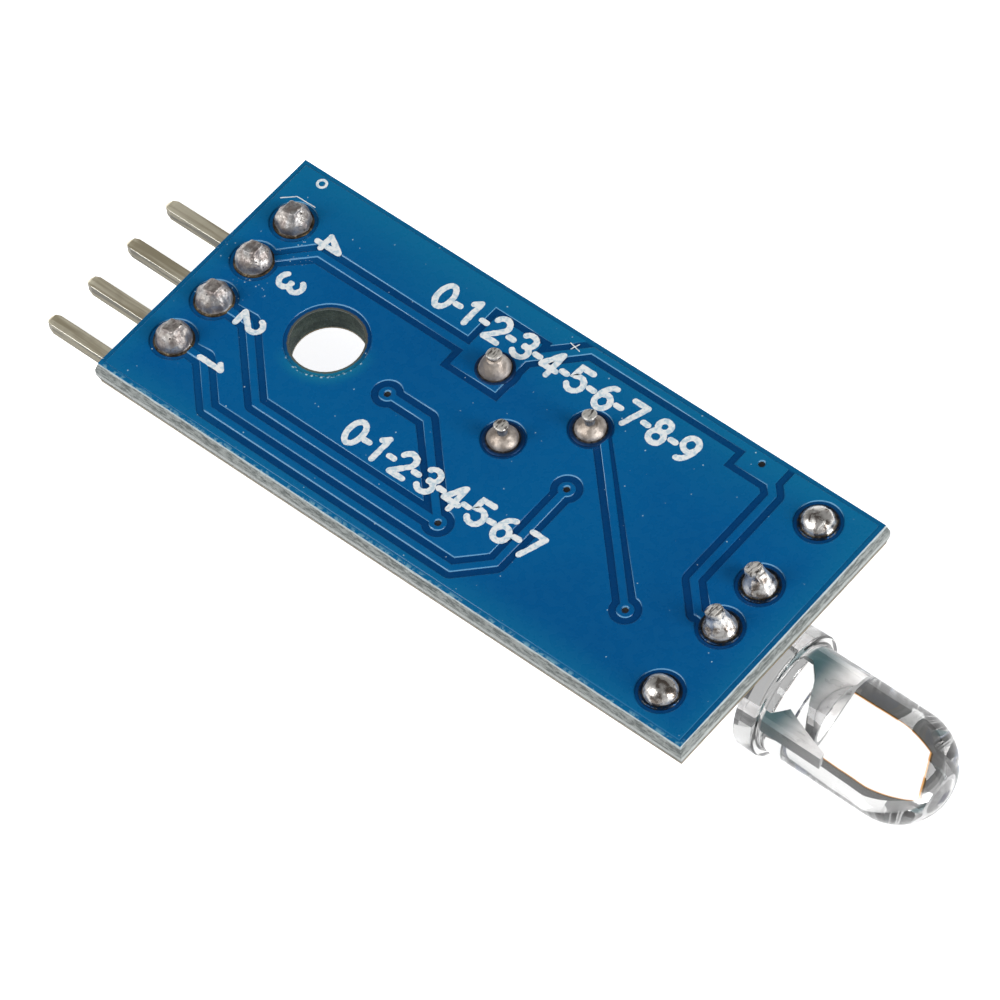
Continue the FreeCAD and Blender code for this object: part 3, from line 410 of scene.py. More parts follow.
def tinned_lead():
    """Tinned wire: drawn sides, a painted shadow on the neck and a nipped end with torn lines across it."""
    paint = Paint("tinned_lead", Metallic=0.5)
    drawn = paint.noise(7.0, 3.0, (1, 1, 0.2))
    colour = paint.tones(drawn, 0.35, 0.65, (0.5, 0.49, 0.47), (0.76, 0.75, 0.73))
    # Painted shadow on the wire from 0.4 mm up, below the nipped end
    neck = paint.span(paint.axis("Z"), 0.3, 0.4)
    colour = paint.mix(neck, colour, tone(0.12, 0.12, 0.125), 0.8)
    colour, torn, nipped = torn_end(paint, colour)
    rough = paint.most(paint.span(drawn, 0.3, 0.7, 0.22, 0.42), paint.times(nipped, 0.42))
    return paint.finish(colour, rough, paint.bump(torn, 0.02, paint.bump(drawn, 0.015)))


def lead_frame():
    """Silvered strip inside the clear body with rolled lines and painted shade; a nipped end above the board.
    """
    paint = Paint("lead_frame", Metallic=0.2)
    rolled = paint.noise(3.0, 3.0, (0.3, 1, 1))
    colour = paint.tones(rolled, 0.35, 0.65, (0.76, 0.74, 0.73), (0.95, 0.93, 0.92))
    # Upright sides painted dark as shade, which draws outlines
    frame_side_shade = paint.span(paint.axis("Z", paint.facing), 0.25, 0.6, 0.7, 0.0)
    colour = paint.mix(frame_side_shade, colour, tone(0.2, 0.21, 0.22))
    # A painted teal shade across part of the frame
    x = paint.axis("X")
    shaded = paint.times(paint.span(x, 23.9, 24.2), paint.span(x, 24.6, 26.2, 0.95, 0.0))
    colour = paint.mix(shaded, colour, tone(0.045, 0.14, 0.155))
    colour, _, nipped = torn_end(paint, colour)
    rough = paint.most(paint.span(rolled, 0.3, 0.7, 0.26, 0.42), paint.times(nipped, 0.42))
    return paint.finish(colour, rough, paint.bump(rolled, 0.02))


def clear_epoxy():
    """Water-clear moulded epoxy with faint flow waves."""
    paint = Paint("clear_epoxy", Transmission_Weight=1.0, IOR=1.53, Roughness=0.0)
    waves = paint.noise(0.35, 2.0)
    tint = paint.tones(waves, 0.3, 0.7, (0.985, 0.985, 0.975), (1.0, 1.0, 0.995))
    return paint.finish(tint, None, paint.bump(waves, 0.02))


def led_lens():
    """Hazy, slightly yellow resin over the chip lamps."""
    paint = Paint("led_lens", Transmission_Weight=0.75, IOR=1.5, Roughness=0.2)
    haze = paint.noise(3.0, 3.0)
    tint = paint.tones(haze, 0.3, 0.7, (0.85, 0.82, 0.6), (0.93, 0.92, 0.8))
    return paint.finish(tint, None, paint.bump(haze, 0.02))


def print_white():
    """Screen-printed white ink, thin and slightly broken."""
    paint = Paint("print_white")
    thin = paint.noise(5.0, 3.0)
    colour = paint.tones(thin, 0.36, 0.56, (0.55, 0.68, 0.76), (0.86, 0.88, 0.88))
    return paint.finish(colour, paint.span(thin, 0.3, 0.7, 0.45, 0.65), paint.bump(thin, 0.01))


def moulded(name, dark, light, rough, grain=0.012, scale=4.0, metallic=0.0):
    """A moulded or cast surface: two tones of one colour, fine grain and slow waves."""
    paint = Paint(name, Metallic=metallic)
    slow = paint.noise(0.5, 3.0)
    fine = paint.noise(scale, 3.0)
    colour = paint.tones(slow, 0.35, 0.65, dark, light)
    return paint.finish(colour, paint.span(fine, 0.3, 0.7, rough * 0.85, rough * 1.15),
                        paint.bump(fine, grain, paint.bump(slow, 0.03)))


MOULDED = {
    "black_plastic": ((0.012, 0.012, 0.013), (0.022, 0.022, 0.024), 0.5),
    "blue_plastic": ((0.008, 0.1, 0.4), (0.012, 0.13, 0.47), 0.32),
    "white_plastic": ((0.72, 0.7, 0.64), (0.82, 0.8, 0.75), 0.45),
    "seal_rubber": ((0.012, 0.012, 0.012), (0.02, 0.02, 0.02), 0.7),
    "spring_brass": ((0.6, 0.42, 0.16), (0.8, 0.6, 0.3), 0.3, 0.012, 4.0, 1.0),
    "white_ceramic": ((0.78, 0.77, 0.73), (0.88, 0.87, 0.84), 0.6),
    "grey_potting": ((0.4, 0.42, 0.42), (0.52, 0.54, 0.53), 0.35),
    "black_epoxy": ((0.018, 0.018, 0.019), (0.03, 0.03, 0.032), 0.55, 0.02, 9.0),
    "resistor_ceramic": ((0.012, 0.012, 0.016), (0.02, 0.02, 0.026), 0.25),
    "capacitor_ceramic": ((0.36, 0.24, 0.13), (0.46, 0.32, 0.18), 0.45),
    "led_base": ((0.68, 0.68, 0.6), (0.8, 0.8, 0.74), 0.5),
    "silicon": ((0.03, 0.03, 0.05), (0.06, 0.06, 0.09), 0.15),
}
finishes = {name: moulded(name, *look) for name, look in MOULDED.items()}
finishes.update({
    "board_core": board_core(), "blue_mask": blue_mask(), "pin_metal": pin_metal(),
    "dull_solder": dull_solder(), "bright_solder": bright_solder(), "fluxed_solder": fluxed_solder(),
    "tinned_lead": tinned_lead(), "lead_frame": lead_frame(), "clear_epoxy": clear_epoxy(),
    "led_lens": led_lens(), "print_white": print_white(),
})


# Dressing the CAD nodes

# Reach of the softened edges by slot
BEVELS = {
    "pin_metal": 0.05, "black_plastic": 0.06, "black_epoxy": 0.04, "led_base": 0.03,
    "white_plastic": 0.03, "tinned_lead": 0.02, "capacitor_ceramic": 0.05, "resistor_ceramic": 0.03,
}
WELD = 0.0002 * MM


def soften(item, reach):
    """Bevel an object's edges by a reach in millimetres."""
    weld = item.modifiers.new("weld", "WELD")
    weld.merge_threshold = WELD
    soft = item.modifiers.new("soft_edges", "BEVEL")
    soft.width = reach * MM
    soft.segments = 2
    soft.limit_method = "ANGLE"
    soft.angle_limit = math.radians(40)
    soft.harden_normals = True
    item.data.polygons.foreach_set("use_smooth", [True] * len(item.data.polygons))


for part in frame["record"]["subparts"]:
    item, slot = nodes[part["node"]], part["material_slot"]
    item.data.materials.clear()
    item.data.materials.append(finishes[slot])
    if slot in BEVELS:
        soften(item, BEVELS[slot])


# Adding new pieces

def in_scene(name, data):
    """A new object in the scene."""
    item = bpy.data.objects.new(name, data)
    bpy.context.scene.collection.objects.link(item)
    return item


def add_piece(name, mesh, slot, finish=None, instead_of=()):
    """Put a finished mesh in the scene as a piece that rides on the module."""
    item = in_scene(name, mesh)
    mesh.materials.clear()
    mesh.materials.append(finishes[finish or slot])
    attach(item, "module")
    if instead_of:
        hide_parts(*instead_of)
    return item


def mesh_from(name, build, smooth_angle=35):
    """A mesh that a function fills in bmesh, shaded smooth up to an angle in degrees."""
    shape = bmesh.new()
    build(shape)
    mesh = bpy.data.meshes.new(name)
    shape.to_mesh(mesh)
    shape.free()
    mesh.polygons.foreach_set("use_smooth", [True] * len(mesh.polygons))
    mesh.set_sharp_from_angle(angle=math.radians(smooth_angle))
    return mesh


def copy_cut(shape, node, places, way):
    """Fill a shape with a CAD node's mesh and split its faces in planes at some places."""
    shape.from_mesh(nodes[node].data)
    bmesh.ops.remove_doubles(shape, verts=shape.verts, dist=WELD)
    for place in places:
        whole = shape.verts[:] + shape.edges[:] + shape.faces[:]
        bmesh.ops.bisect_plane(shape, geom=whole, dist=1e-7, plane_co=place, plane_no=way)


def skin_rings(shape, rings, segments):
    """Faces between rings of vertices; a ring of one vertex closes an end."""
    for low, high in zip(rings, rings[1:]):
        for step in range(segments):
            after = (step + 1) % segments
            if len(low) == 1:
                shape.faces.new((low[0], high[after], high[step]))
            elif len(high) == 1:
                shape.faces.new((low[step], low[after], high[0]))
            else:
                shape.faces.new((low[step], low[after], high[after], high[step]))
    bmesh.ops.recalc_face_normals(shape, faces=shape.faces)


def turned(shape, profile, segments, place):
    """Turn a profile of (radius, height) points, in millimetres, about a place's own Z."""
    rings = []
    for radius, height in profile:
        ring = []
        for step in range(segments if radius > 1e-6 else 1):
            angle = 2 * math.pi * step / segments
            point = Vector((radius * math.cos(angle), radius * math.sin(angle), height))
            ring.append(shape.verts.new(place @ (point * MM)))
        rings.append(ring)
    skin_rings(shape, rings, segments)


def bow(centre_x, centre_y, reach_x, reach_y, start, end, steps=10):
    """Points on part of an ellipse between two angles in degrees."""
    points = []
    for step in range(steps + 1):
        angle = math.radians(start + (end - start) * step / steps)
        points.append((centre_x + reach_x * math.cos(angle), centre_y + reach_y * math.sin(angle)))
    return points


# Solder-side skin: the copper relief with rounded shoulders and narrower moats round the pads

SHOULDER_STEPS = ((0.042, 0.028), (0.02, 0.006))
MOAT_WALL = 1.16 * MM
MOAT_REACH = 1.04 * MM
TRIMMER_MOAT_REACH = 0.97 * MM
# The first trimmer joint has no round moat
RINGED = [name for name in nodes
          if ("_joint_" in name or name.startswith("filled_pad_")) and name != "trimmer_joint_1"]


def narrow_moats(shape):
    """Draw the outer wall of the moat round each pad in to the reach that the photograph shows."""
    for joint in RINGED:
        middle = centre_of(joint)
        reach = TRIMMER_MOAT_REACH if joint.startswith("trimmer") else MOAT_REACH
        for vert in shape.verts:
            spoke = Vector((vert.co.x - middle.x, vert.co.y - middle.y))
            if abs(spoke.length - MOAT_WALL) < 0.02 * MM:
                spoke *= reach / spoke.length
                vert.co.x, vert.co.y = middle.x + spoke.x, middle.y + spoke.y


def round_shoulders(shape):
    """Sink the rims of the raised copper in steps of width and depth, so light runs along them."""
    lands = [face for face in shape.faces
             if face.normal.z > 0.99 and face.calc_center_median().z > -0.01 * MM]
    for width, depth in SHOULDER_STEPS:
        rims = bmesh.ops.inset_region(shape, faces=lands, thickness=width * MM, use_boundary=True,
                                      use_even_offset=False)["faces"]
        inside = {vert for face in lands for vert in face.verts}
        for vert in {vert for face in rims for vert in face.verts} - inside:
            vert.co.z -= depth * MM


def solder_side():
    """The solder-side skin as a piece: its level faces flat, its shoulders smooth."""

    def build(shape):
        shape.from_mesh(nodes["solder_side_skin"].data)
        narrow_moats(shape)
        bmesh.ops.remove_doubles(shape, verts=shape.verts, dist=WELD)
        round_shoulders(shape)

    mesh = mesh_from("solder_side_relief", build, 60)
    if "custom_normal" in mesh.attributes:
        mesh.attributes.remove(mesh.attributes["custom_normal"])
    mesh.polygons.foreach_set("use_smooth", [abs(face.normal.z) < 0.999 for face in mesh.polygons])
    add_piece("solder_side_relief", mesh, "blue_mask", instead_of=["solder_side_skin"])


solder_side()


# Clear sensor body

def sensor_body():
    """The sensor's moulded body as one smooth turned solid: a soft flange, a fillet and a dome."""
    low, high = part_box("sensor_lens")
    axis = centre_of("sensor_lens")
    length = (high.x - low.x) / MM
    flange_radius = (high.y - low.y) / 2 / MM
    radius, flange = 2.45, 1.0
    soft, fillet = 0.1, 0.15
    profile = [(0, 0), (flange_radius - soft, 0)]
    profile += bow(flange_radius - soft, soft, soft, soft, -90, 0, 4)[1:]
    profile += bow(flange_radius - soft, flange - soft, soft, soft, 0, 90, 4)
    profile += bow(radius + fillet, flange + fillet, fillet, fillet, 270, 180, 4)
    profile += bow(0, length - radius, radius, radius, 0, 90, 24)[:-1] + [(0, length)]
    place = Matrix.Translation((low.x, axis.y, axis.z)) @ Matrix.Rotation(math.pi / 2, 4, "Y")
    mesh = mesh_from("sensor_clear_body", lambda shape: turned(shape, profile, 96, place), 40)
    item = add_piece("sensor_clear_body", mesh, "clear_epoxy", instead_of=["sensor_lens"])
    item.visible_shadow = False


sensor_body()


# Solder beads: each profile is (radius, height, squareness) from the foot up

def rounded(*points):
    """A profile of (radius, height) points that stays round."""
    return [(radius, height, 0) for radius, height in points]


BARREL = rounded((0, -BOARD_THICKNESS), (0.45, -BOARD_THICKNESS), (0.45, -0.09), (0.84, -0.07))
SKIRT = rounded((0.89, -0.052), (0.875, -0.004), (0.83, 0.018))
PIN_CROWN = rounded((0.795, 0.035), (0.785, 0.12), (0.77, 0.24)) + [
    (0.72, 0.37, 0.05), (0.64, 0.49, 0.1), (0.55, 0.58, 0.2), (0.46, 0.66, 0.4), (0.4, 0.73, 0.7),
    (0.37, 0.8, 0.85), (0.35, 0.86, 0.85), (0.3, 0.885, 0.8), (0.14, 0.89, 0.5), (0, 0.89, 0)]
TALL_DOME = rounded((0.69, 0.03), (0.7, 0.08), (0.685, 0.14), (0.65, 0.24), (0.59, 0.35), (0.52, 0.46),
                    (0.45, 0.56), (0.39, 0.64), (0.35, 0.71), (0.32, 0.75), (0, 0.76))
LOW_DOME = rounded((0.665, 0.03), (0.67, 0.08), (0.655, 0.14), (0.61, 0.22), (0.54, 0.29), (0.45, 0.35),
                   (0.37, 0.4), (0.32, 0.46), (0, 0.47))
LEAD_CONE = rounded((0.71, 0.03), (0.705, 0.08), (0.66, 0.17), (0.585, 0.3), (0.51, 0.44), (0.45, 0.58),
                    (0.405, 0.72), (0.38, 0.84), (0.375, 0.93), (0.355, 0.965), (0, 0.968))
FLAT_DOME = rounded((0.73, 0.035), (0.72, 0.1), (0.68, 0.2), (0.62, 0.3), (0.53, 0.38), (0.4, 0.44),
                    (0.25, 0.48), (0.1, 0.497), (0, 0.5))
BEAD_STEPS = 72
# Just under the top of the CAD box
BEAD_CEILING = 1.09
# Share of a faceted bead's outline that its flats take up, and how far they stand out
FACETED = 0.65
FLATS_OUT = 1.04


def outline_radius(radius, angle, squareness, facets):
    """A circle that turns into a rounded square, or has flats cut on it."""
    power = 2 + 5 * squareness
    spread = (abs(math.cos(angle)) ** power + abs(math.sin(angle)) ** power) ** (1 / power)
    reach = radius / spread
    if facets and squareness < 0.3:
        sector = 2 * math.pi / facets
        flat = math.cos(sector / 2) / math.cos(angle % sector - sector / 2)
        reach *= 1 - FACETED + FACETED * flat * FLATS_OUT
    return reach


def bead(name, node, profile, slot, seed, finish=None, roll=0.05, ribs=0.0, facets=0, lean=(0, 0), slant=0.0):
    """A bead on its pad: rolling sides, ribs or flats, and a crown that leans and slants."""
    middle = centre_of(node)
    shift = Vector((seed * 7.3, seed * 3.1, seed * 5.7))
    top = profile[-1][1]

    def skin_point(radius, height, squareness, angle):
        """A point of the bead's skin, in metres from the pad's middle."""
        rise = max(height, 0) / top
        sway = rise ** 1.4
        if radius == 0:
            return lean[0] * sway * MM, lean[1] * sway * MM, height * MM
        reach = outline_radius(radius, angle, squareness, facets if height > 0.02 else 0)
        point = Vector((reach * math.cos(angle), reach * math.sin(angle), height))
        free = min(1, rise * 5) * (1 - squareness * 0.6)
        swell = 1 + free * (roll * noise.noise(point * 1.3 + shift)
                            + 0.4 * roll * noise.noise(point * 3.3 - shift)
                            + ribs * math.sin(math.pi * rise) * math.cos(7 * angle + seed))
        level = height + slant * rise ** 2 * point.x
        if height > 0.03:
            level += free * roll * 0.6 * noise.noise(point * 2.1 + shift * 0.5)
        return ((point.x * swell + lean[0] * sway) * MM, (point.y * swell + lean[1] * sway) * MM,
                min(level, BEAD_CEILING) * MM)

    def build(shape):
        rings = []
        for radius, height, squareness in BARREL + SKIRT + profile:
            ring = []
            for step in range(BEAD_STEPS if radius else 1):
                angle = 2 * math.pi * step / BEAD_STEPS
                ring.append(shape.verts.new(skin_point(radius, height, squareness, angle)))
            rings.append(ring)
        skin_rings(shape, rings, BEAD_STEPS)
        shape.transform(Matrix.Translation((middle.x, middle.y, 0)))

    add_piece(name, mesh_from(name, build, 55), slot, finish, instead_of=[node])


for number, (ribs, facets) in enumerate(((0.02, 0), (0.05, 0), (0.0, 0), (0.01, 8)), 1):
    bead("header_bead_%d" % number, "header_joint_%d" % number, PIN_CROWN, "dull_solder",
         seed=number, roll=0.11, ribs=ribs, facets=facets, lean=(-0.04, 0.06), slant=0.25)
for number, profile in enumerate((TALL_DOME, LOW_DOME, LOW_DOME), 1):
    bead("trimmer_bead_%d" % number, "trimmer_joint_%d" % number, profile, "bright_solder",
         seed=number + 10, finish="fluxed_solder", roll=0.07)
for number in (1, 2):
    bead("sensor_bead_%d" % number, "sensor_joint_%d" % number, LEAD_CONE, "bright_solder",
         seed=number + 20, roll=0.1, ribs=0.045, lean=(-0.3, 0.0), slant=0.5)
    bead("filled_bead_%d" % number, "filled_pad_%d" % number, FLAT_DOME, "bright_solder",
         seed=number + 30, roll=0.09)


# Trimmer leads, drawn thinner above the board, with burred caps where nippers cut them

NIP_COLLAR = 0.2 * MM
NIP_NECK = 0.4 * MM
NIP_WIDTH = 0.76
NIP_CAP = ((0, 0.8), (0.255, 0.8), (0.258, 0.9), (0.3, 0.955), (0.315, 0.99), (0.3, 1.02),
           (0.25, 1.04), (0.12, 1.05), (0, 1.055))
BURR_START, BURR_RISE = 0.9, 0.1


def nipped_lead(number, slope):
    """A lead from its CAD mesh, whose free end narrows inside the bead and carries a burred cap."""
    name, node = "nipped_lead_%d" % number, "trimmer_lead_%d" % number
    middle = centre_of(node)

    def build(shape):
        copy_cut(shape, node, [(0, 0, NIP_COLLAR), (0, 0, NIP_NECK)], (0, 0, 1))
        wire = set(shape.verts)
        for vert in wire:
            if vert.co.z > NIP_NECK - 1e-6:
                vert.co.x = middle.x + (vert.co.x - middle.x) * NIP_WIDTH
                vert.co.y = middle.y + (vert.co.y - middle.y) * NIP_WIDTH
        turned(shape, NIP_CAP, 40, Matrix.Translation((middle.x, middle.y, 0)))
        for vert in set(shape.verts) - wire:
            spoke = Vector((vert.co.x - middle.x, vert.co.y - middle.y, 0))
            burr = min(1, max(0, vert.co.z / MM - BURR_START) / BURR_RISE)
            spot = vert.co / MM + Vector((number * 5.0, 0, 0))
            vert.co += spoke * burr * 0.22 * noise.noise(spot * 2.0)
            vert.co.z += burr * (slope * spoke.x + 0.012 * MM * noise.noise(spot * 4.0))

    add_piece(name, mesh_from(name, build, 50), "tinned_lead", instead_of=[node])


for number, slope in ((1, 0.03), (2, -0.04), (3, 0.02)):
    nipped_lead(number, slope)


# Dark plugs standing in for the shade in the five plated holes, which look dark in the photograph

TRIMMER_X = centre_of("trimmer_housing").x / MM
PLATED_HOLES = ((3.77, -0.57), (TRIMMER_X + 0.52, -4.23), (TRIMMER_X + 3.65, 0.2), (18.3, -2.92),
                (18.25, 5.95))
SHADE_PLUG = ((0, -0.9), (0.149, -0.9), (0.149, -0.085), (0, -0.11))


def hole_shade_plugs():
    """Dished dark plugs in the holes, a stand-in for their shade."""

    def build(shape):
        for x, y in PLATED_HOLES:
            turned(shape, SHADE_PLUG, 16, Matrix.Translation((x * MM, y * MM, 0)))

    add_piece("hole_shade_plugs", mesh_from("hole_shade_plugs", build), "blue_mask", finish="black_plastic")


hole_shade_plugs()


# Header pins with the tapered tips of the photograph

TAPER = 0.42 * MM
TIP_WIDTH = 0.66


def tapered_pin(number):
    """A pin from its CAD mesh, whose end narrows to the tip's width."""
    name, node = "tapered_pin_%d" % number, "header_pin_%d" % number
    low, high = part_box(node)
    shoulder = low.x + TAPER
    middle_y = (low.y + high.y) / 2

    def build(shape):
        copy_cut(shape, node, [(shoulder, 0, 0)], (1, 0, 0))
        shaft = [vert.co.z for vert in shape.verts if abs(vert.co.x - shoulder) < 1e-6]
        middle_z = sum(shaft) / len(shaft)
        for vert in shape.verts:
            if vert.co.x < shoulder - 1e-6:
                width = TIP_WIDTH + (1 - TIP_WIDTH) * (vert.co.x - low.x) / TAPER
                vert.co.y = middle_y + (vert.co.y - middle_y) * width
                vert.co.z = middle_z + (vert.co.z - middle_z) * width

    item = add_piece(name, mesh_from(name, build), "pin_metal", instead_of=[node])
    soften(item, BEVELS["pin_metal"])
    item.modifiers["soft_edges"].harden_normals = False
    item.data.polygons.foreach_set("use_smooth", [False] * len(item.data.polygons))


for number in range(1, 5):
    tapered_pin(number)


# Printed marks: plain rows of figures and pin numbers. Strokes that cross lie in layers, and the
# dashes lie above the figures.

INK = 0.012
LAYER = 0.003
DASH_LAYER = 3
STROKE = 0.27
HAIRLINE = 0.045
ROW_HEIGHT = 1.2
PIN_NUMBER_HEIGHT = 1.15
RAGGED = 0.22
RAGGED_SCALE = 6
MITRE_LIMIT = 0.5
CAP_STEPS = 6


def finely(points, step=0.09, clear=0.2):
    """The same line with more points on its long straights, clear of their corners."""
    fine = [Vector(points[0])]
    for start, end in zip(points, points[1:]):
        start, end = Vector(start), Vector(end)
        way = end - start
        parts = round((way.length - 2 * clear) / step)
        for part in range(parts + 1 if parts > 0 else 0):
            fine.append(start + way.normalized() * (clear + (way.length - 2 * clear) * part / parts))
        fine.append(end)
    return fine


def ribbon(shape, points, width, level=0.0):
    """A printed line through points in millimetres, with ragged sides, mitred turns and round ends."""
    points = finely(points)
    closed = (points[0] - points[-1]).length < 1e-4
    if closed:
        points.pop()
    height = (INK + level) * MM
    count = len(points)
    left, right = [], []
    for index, point in enumerate(points):
        ways = []
        if closed or index:
            ways.append((point - points[index - 1]).normalized())
        if closed or index < count - 1:
            ways.append((points[(index + 1) % count] - point).normalized())
        heading = sum(ways, Vector((0, 0))).normalized()
        reach = width / 2 / max(MITRE_LIMIT, heading.dot(ways[0]))
        side = Vector((-heading.y, heading.x)) * reach
        spot = Vector((point.x, point.y, 0)) * RAGGED_SCALE
        outer = point + side * (1 + RAGGED * noise.noise(spot))
        inner = point - side * (1 + RAGGED * noise.noise(spot + Vector((0, 0, 9.5))))
        left.append(shape.verts.new((outer.x * MM, outer.y * MM, height)))
        right.append(shape.verts.new((inner.x * MM, inner.y * MM, height)))
    for index in range(count if closed else count - 1):
        after = (index + 1) % count
        shape.faces.new((left[index], right[index], right[after], left[after]))
    if closed:
        return
    for end, beyond, first, last in ((points[0], points[1], left[0], right[0]),
                                     (points[-1], points[-2], right[-1], left[-1])):
        out = (end - beyond).normalized()
        turn = math.atan2(out.y, out.x)
        cap = []
        for step in range(1, CAP_STEPS):
            angle = turn + math.pi / 2 - math.pi * step / CAP_STEPS
            cap.append(shape.verts.new(((end.x + width / 2 * math.cos(angle)) * MM,
                                        (end.y + width / 2 * math.sin(angle)) * MM, height)))
        shape.faces.new([first] + cap[::-1] + [last])


# Strokes of each figure in a box one high, with the origin at its middle
FIGURES = {
    "0": [bow(0, 0, 0.28, 0.5, 0, 360, 20)],
    "1": [[(-0.16, 0.32), (0.04, 0.5)], [(0.04, 0.5), (0.04, -0.5)]],
    "2": [bow(0, 0.22, 0.28, 0.28, 165, -35) + [(-0.28, -0.5)], [(-0.28, -0.5), (0.3, -0.5)]],
    "3": [bow(-0.02, 0.24, 0.27, 0.26, 150, -90), bow(-0.02, -0.24, 0.3, 0.26, 90, -150)],
    "4": [[(0.1, 0.48), (-0.3, -0.2)], [(-0.3, -0.2), (0.32, -0.2)], [(0.14, 0.5), (0.14, -0.5)]],
    "5": [[(0.26, 0.5), (-0.22, 0.5), (-0.25, 0.08)] + bow(-0.02, -0.18, 0.3, 0.32, 125, -150)],
    "6": [bow(0.16, -0.1, 0.42, 0.6, 95, 180), bow(0, -0.2, 0.28, 0.3, 0, 360, 16)],
    "7": [[(-0.28, 0.5), (0.28, 0.5)], [(0.28, 0.5), (-0.08, -0.5)]],
    "8": [bow(0, 0.26, 0.23, 0.24, 0, 360, 14), bow(0, -0.24, 0.28, 0.26, 0, 360, 16)],
    "9": [bow(-0.16, 0.1, 0.42, 0.6, -85, 0), bow(0, 0.2, 0.28, 0.3, 0, 360, 16)],
    "-": [[(-0.11, -0.04), (0.11, -0.04)]],
}


def figure(shape, sign, x, y, height, heading=0):
    """A printed figure, centred on a place, whose line of writing runs along a heading in degrees."""
    turn = Matrix.Rotation(math.radians(heading), 2)
    for layer, stroke in enumerate(FIGURES[sign], DASH_LAYER if sign == "-" else 0):
        points = [Vector((x, y)) + turn @ Vector(point) * height for point in stroke]
        ribbon(shape, points, STROKE, LAYER * layer)


def row_of_figures(shape, signs, start, end, y):
    """Figures spread evenly along X between the middles of the first and the last."""
    for index, sign in enumerate(signs):
        figure(shape, sign, start + (end - start) * index / (len(signs) - 1), y, ROW_HEIGHT)


def put_in_order(items, place):
    """Order vertices or faces by place, because extruding orders them anew in each run."""
    ordered = sorted(items, key=lambda item: tuple(place(item)))
    ranks = {item: rank for rank, item in enumerate(ordered)}
    items.sort(key=ranks.get)


def printed_marks():
    """All the print as one closed piece: two rows, the pin numbers, a ring, a corner and a cross."""

    def build(shape):
        row_of_figures(shape, "0-1-2-3-4-5-6-7-8-9", 2.5, 15.4, 4.68)
        row_of_figures(shape, "0-1-2-3-4-5-6-7", 4.0, 13.3, -2.87)
        for number in range(1, 5):
            middle = centre_of("header_joint_%d" % number) / MM
            figure(shape, str(number), middle.x + 2.05, middle.y, PIN_NUMBER_HEIGHT, -90)
        ribbon(shape, bow(-5.47, 6.04, 0.2, 0.2, 0, 360, 16), 0.12)
        ribbon(shape, [(-6.4, 4.43), (-5.87, 4.9), (-4.9, 4.92)], HAIRLINE)
        ribbon(shape, [(8.2, 5.95), (8.75, 5.84)], HAIRLINE)
        ribbon(shape, [(8.4, 5.72), (8.54, 6.1)], HAIRLINE, LAYER)
        under = bmesh.ops.extrude_face_region(shape, geom=shape.faces[:], use_keep_orig=True)["geom"]
        for vert in under:
            if isinstance(vert, bmesh.types.BMVert):
                vert.co.z -= INK * MM
        bmesh.ops.recalc_face_normals(shape, faces=shape.faces)
        put_in_order(shape.verts, lambda vert: vert.co)
        put_in_order(shape.faces, lambda face: face.calc_center_median())

    add_piece("printed_marks", mesh_from("printed_marks", build), "blue_mask", finish="print_white")


printed_marks()


# Stage: white paper under the resting points, plain soft light and the photograph's camera

LOOK = Vector((-0.40533, 0.39971, -0.82216))
FLOOR_REACH = 3.0

# Panels of directions, each the least cosine across the view and the most reach along X: the
# bright window that the clear sensor shows, and the rims between which it has a warm line
WINDOW = (0.866, 0.38)
WINDOW_RIMS = ((0.854, 0.4), (0.874, 0.362))
WINDOW_SKEW = 0.15
PLAIN_LIGHT = 0.2


def resting_floor():
    """White paper on the plane that the sensor's flange and the pins' tips touch."""
    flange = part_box("sensor_lens")[0]
    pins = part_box("header_pin_1")[0]
    slope = math.atan2(pins.z - flange.z, flange.x - pins.x)

    def build(shape):
        bmesh.ops.create_grid(shape, x_segments=2, y_segments=2, size=FLOOR_REACH)

    floor = in_scene("floor", mesh_from("floor", build))
    floor.matrix_world = (Matrix.Translation((flange.x, 0, flange.z - 0.01 * MM))
                          @ Matrix.Rotation(slope, 4, "Y"))
    paper = Paint("paper", Roughness=0.9)
    fibre = paper.noise(0.4, 4.0)
    colour = paper.tones(fibre, 0.3, 0.7, (0.86, 0.86, 0.86), (0.88, 0.88, 0.88))
    floor.data.materials.append(paper.finish(colour, None, paper.bump(fibre, 0.01)))
    # The paper is white to the eye, and a touch darker under the part
    away = paper.span(paper.vector("LENGTH", paper.point), 45.0, 140.0, 0.88, 1.0)
    glow = paper.node("Emission", sockets={"Strength": paper.times(paper.most(*paper.rays()), away)})
    both = paper.node("AddShader", sockets={0: paper.surface.outputs[0], 1: glow.outputs[0]})
    paper.link(both.outputs[0], paper.tree.nodes["Material Output"].inputs["Surface"])
    floor.visible_transmission = False


def lamp(name, place, aim, width, height, power):
    """A rectangular lamp at a place, turned to what it lights."""
    data = bpy.data.lights.new(name, "AREA")
    data.shape = "RECTANGLE"
    data.size = width
    data.size_y = height
    data.energy = power
    item = in_scene(name, data)
    item.location = place
    item.rotation_mode = "QUATERNION"
    item.rotation_quaternion = (aim - place).to_track_quat("-Z", "Y")


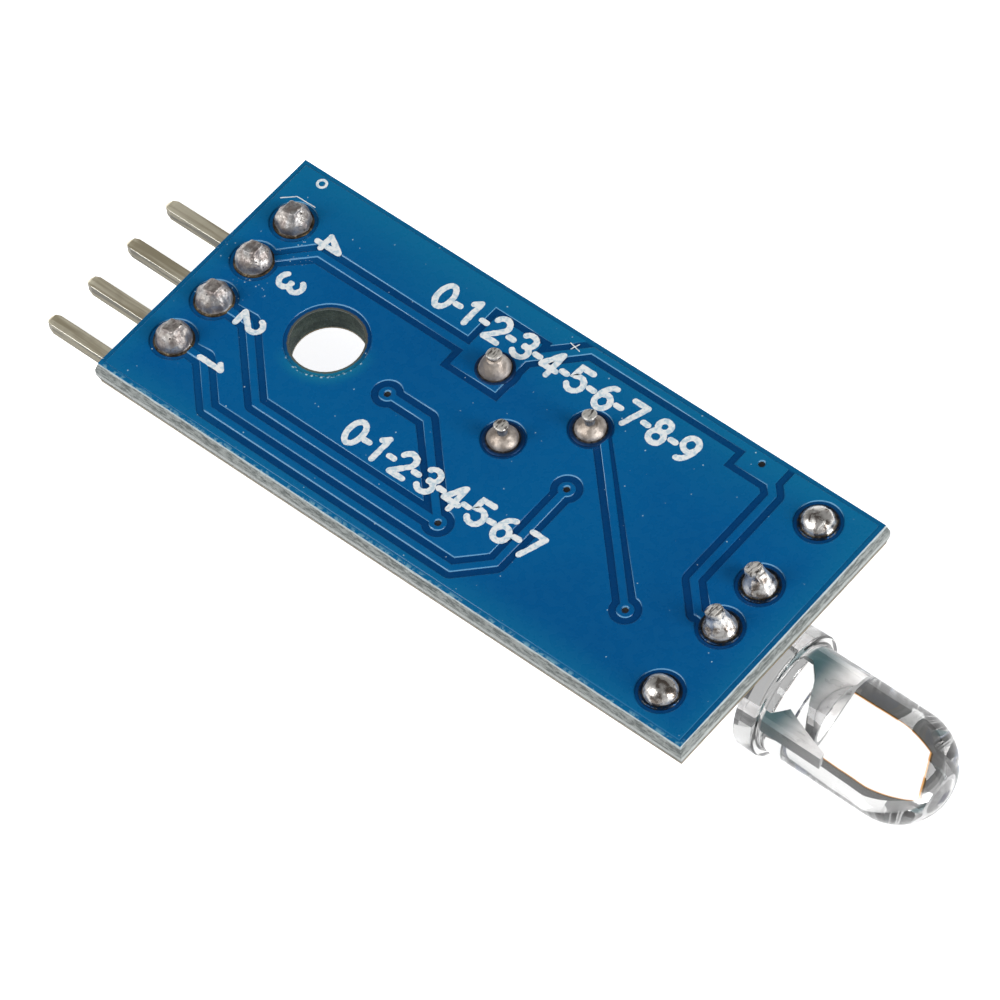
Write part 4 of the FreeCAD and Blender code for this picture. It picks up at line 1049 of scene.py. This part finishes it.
def studio():
    """A white ground to the eye, a plain dim world for light, and what shows through clear plastic."""
    world = bpy.data.worlds.new("studio")
    bpy.context.scene.world = world
    world.use_nodes = True
    sky = Shader(world.node_tree)
    sky.point = sky.node("TexCoord").outputs["Generated"]
    x, y, z = [sky.axis(name) for name in "XYZ"]
    camera_ray, glossy_ray, clear_ray = sky.rays()
    level = sky.vector("NORMALIZE", sky.vector("MULTIPLY", sky.point, (0, 1, 1)))
    ahead = sky.vector("DOT_PRODUCT", level, Vector((0, LOOK.y, LOOK.z)).normalized())
    sideways = sky.vector("DOT_PRODUCT", level, Vector((0, -LOOK.z, LOOK.y)).normalized())
    along = sky.minus(x, LOOK.x)
    tilt = sky.absolute(along)
    skewed = sky.absolute(sky.plus(along, sky.times(sideways, WINDOW_SKEW)))

    def panel(cosine, reach):
        """A skewed rectangle of directions round the view."""
        return sky.times(sky.above(ahead, cosine), sky.below(skewed, reach))

    # Through clear plastic: the window, a skyline that is brighter square on, and dim sides
    skyline = sky.below(sky.absolute(sky.plus(z, 0.12)), 0.25)
    bright = sky.times(sky.above(y, -0.1), sky.below(tilt, 0.2))
    square_on = sky.times(sky.above(y, 0.75), 0.8)
    sweep = sky.times(skyline, sky.most(bright, square_on, 0.3))
    aside = sky.times(sky.above(tilt, 0.6), 0.5)
    through = sky.most(sky.times(panel(*WINDOW), 1.12), sweep, aside, 0.12)
    ceiling = sky.most(sky.minus(0.5, z), 0.03)

    # Glossy tells reflections only where the ray isn't also a transmitted one
    mirrored = sky.above(glossy_ray, clear_ray)
    seen = sky.plus(PLAIN_LIGHT, sky.times(clear_ray, sky.minus(through, PLAIN_LIGHT)))
    seen = sky.plus(seen, sky.times(mirrored, sky.minus(ceiling, PLAIN_LIGHT)))
    outer, inner = WINDOW_RIMS
    rim = sky.times(sky.minus(panel(*outer), panel(*inner)), clear_ray)
    background = sky.tree.nodes["Background"]
    sky.link(sky.mix(rim, tone(1, 1, 1), tone(0.75, 0.38, 0.12)), background.inputs["Color"])
    sky.link(sky.most(seen, camera_ray), background.inputs["Strength"])
    middle = (cad_low + cad_high) / 2
    lamp("left", middle + Vector((-0.16, -0.22, 0.28)), middle, 0.2, 0.26, 0.95)
    lamp("right", middle + Vector((0.33, 0.06, 0.17)), middle, 0.16, 0.26, 1.0)


def camera():
    """The photograph's view, from the pins' pitch and the board's corners."""
    place = Vector((112.59, -102.155, 206.295)) * MM
    roll = math.radians(-6.87)
    data = bpy.data.cameras.new("camera")
    data.lens = 222.5
    data.sensor_width = 36.0
    data.clip_start = 0.01
    data.clip_end = 10.0
    item = in_scene("camera", data)
    level = LOOK.to_track_quat("-Z", "Y").to_matrix().to_4x4()
    item.matrix_world = Matrix.Translation(place) @ level @ Matrix.Rotation(roll, 4, "Z")
    bpy.context.scene.camera = item


resting_floor()
studio()
camera()
bpy.context.scene.view_settings.view_transform = "Standard"

bpy.context.view_layer.update()
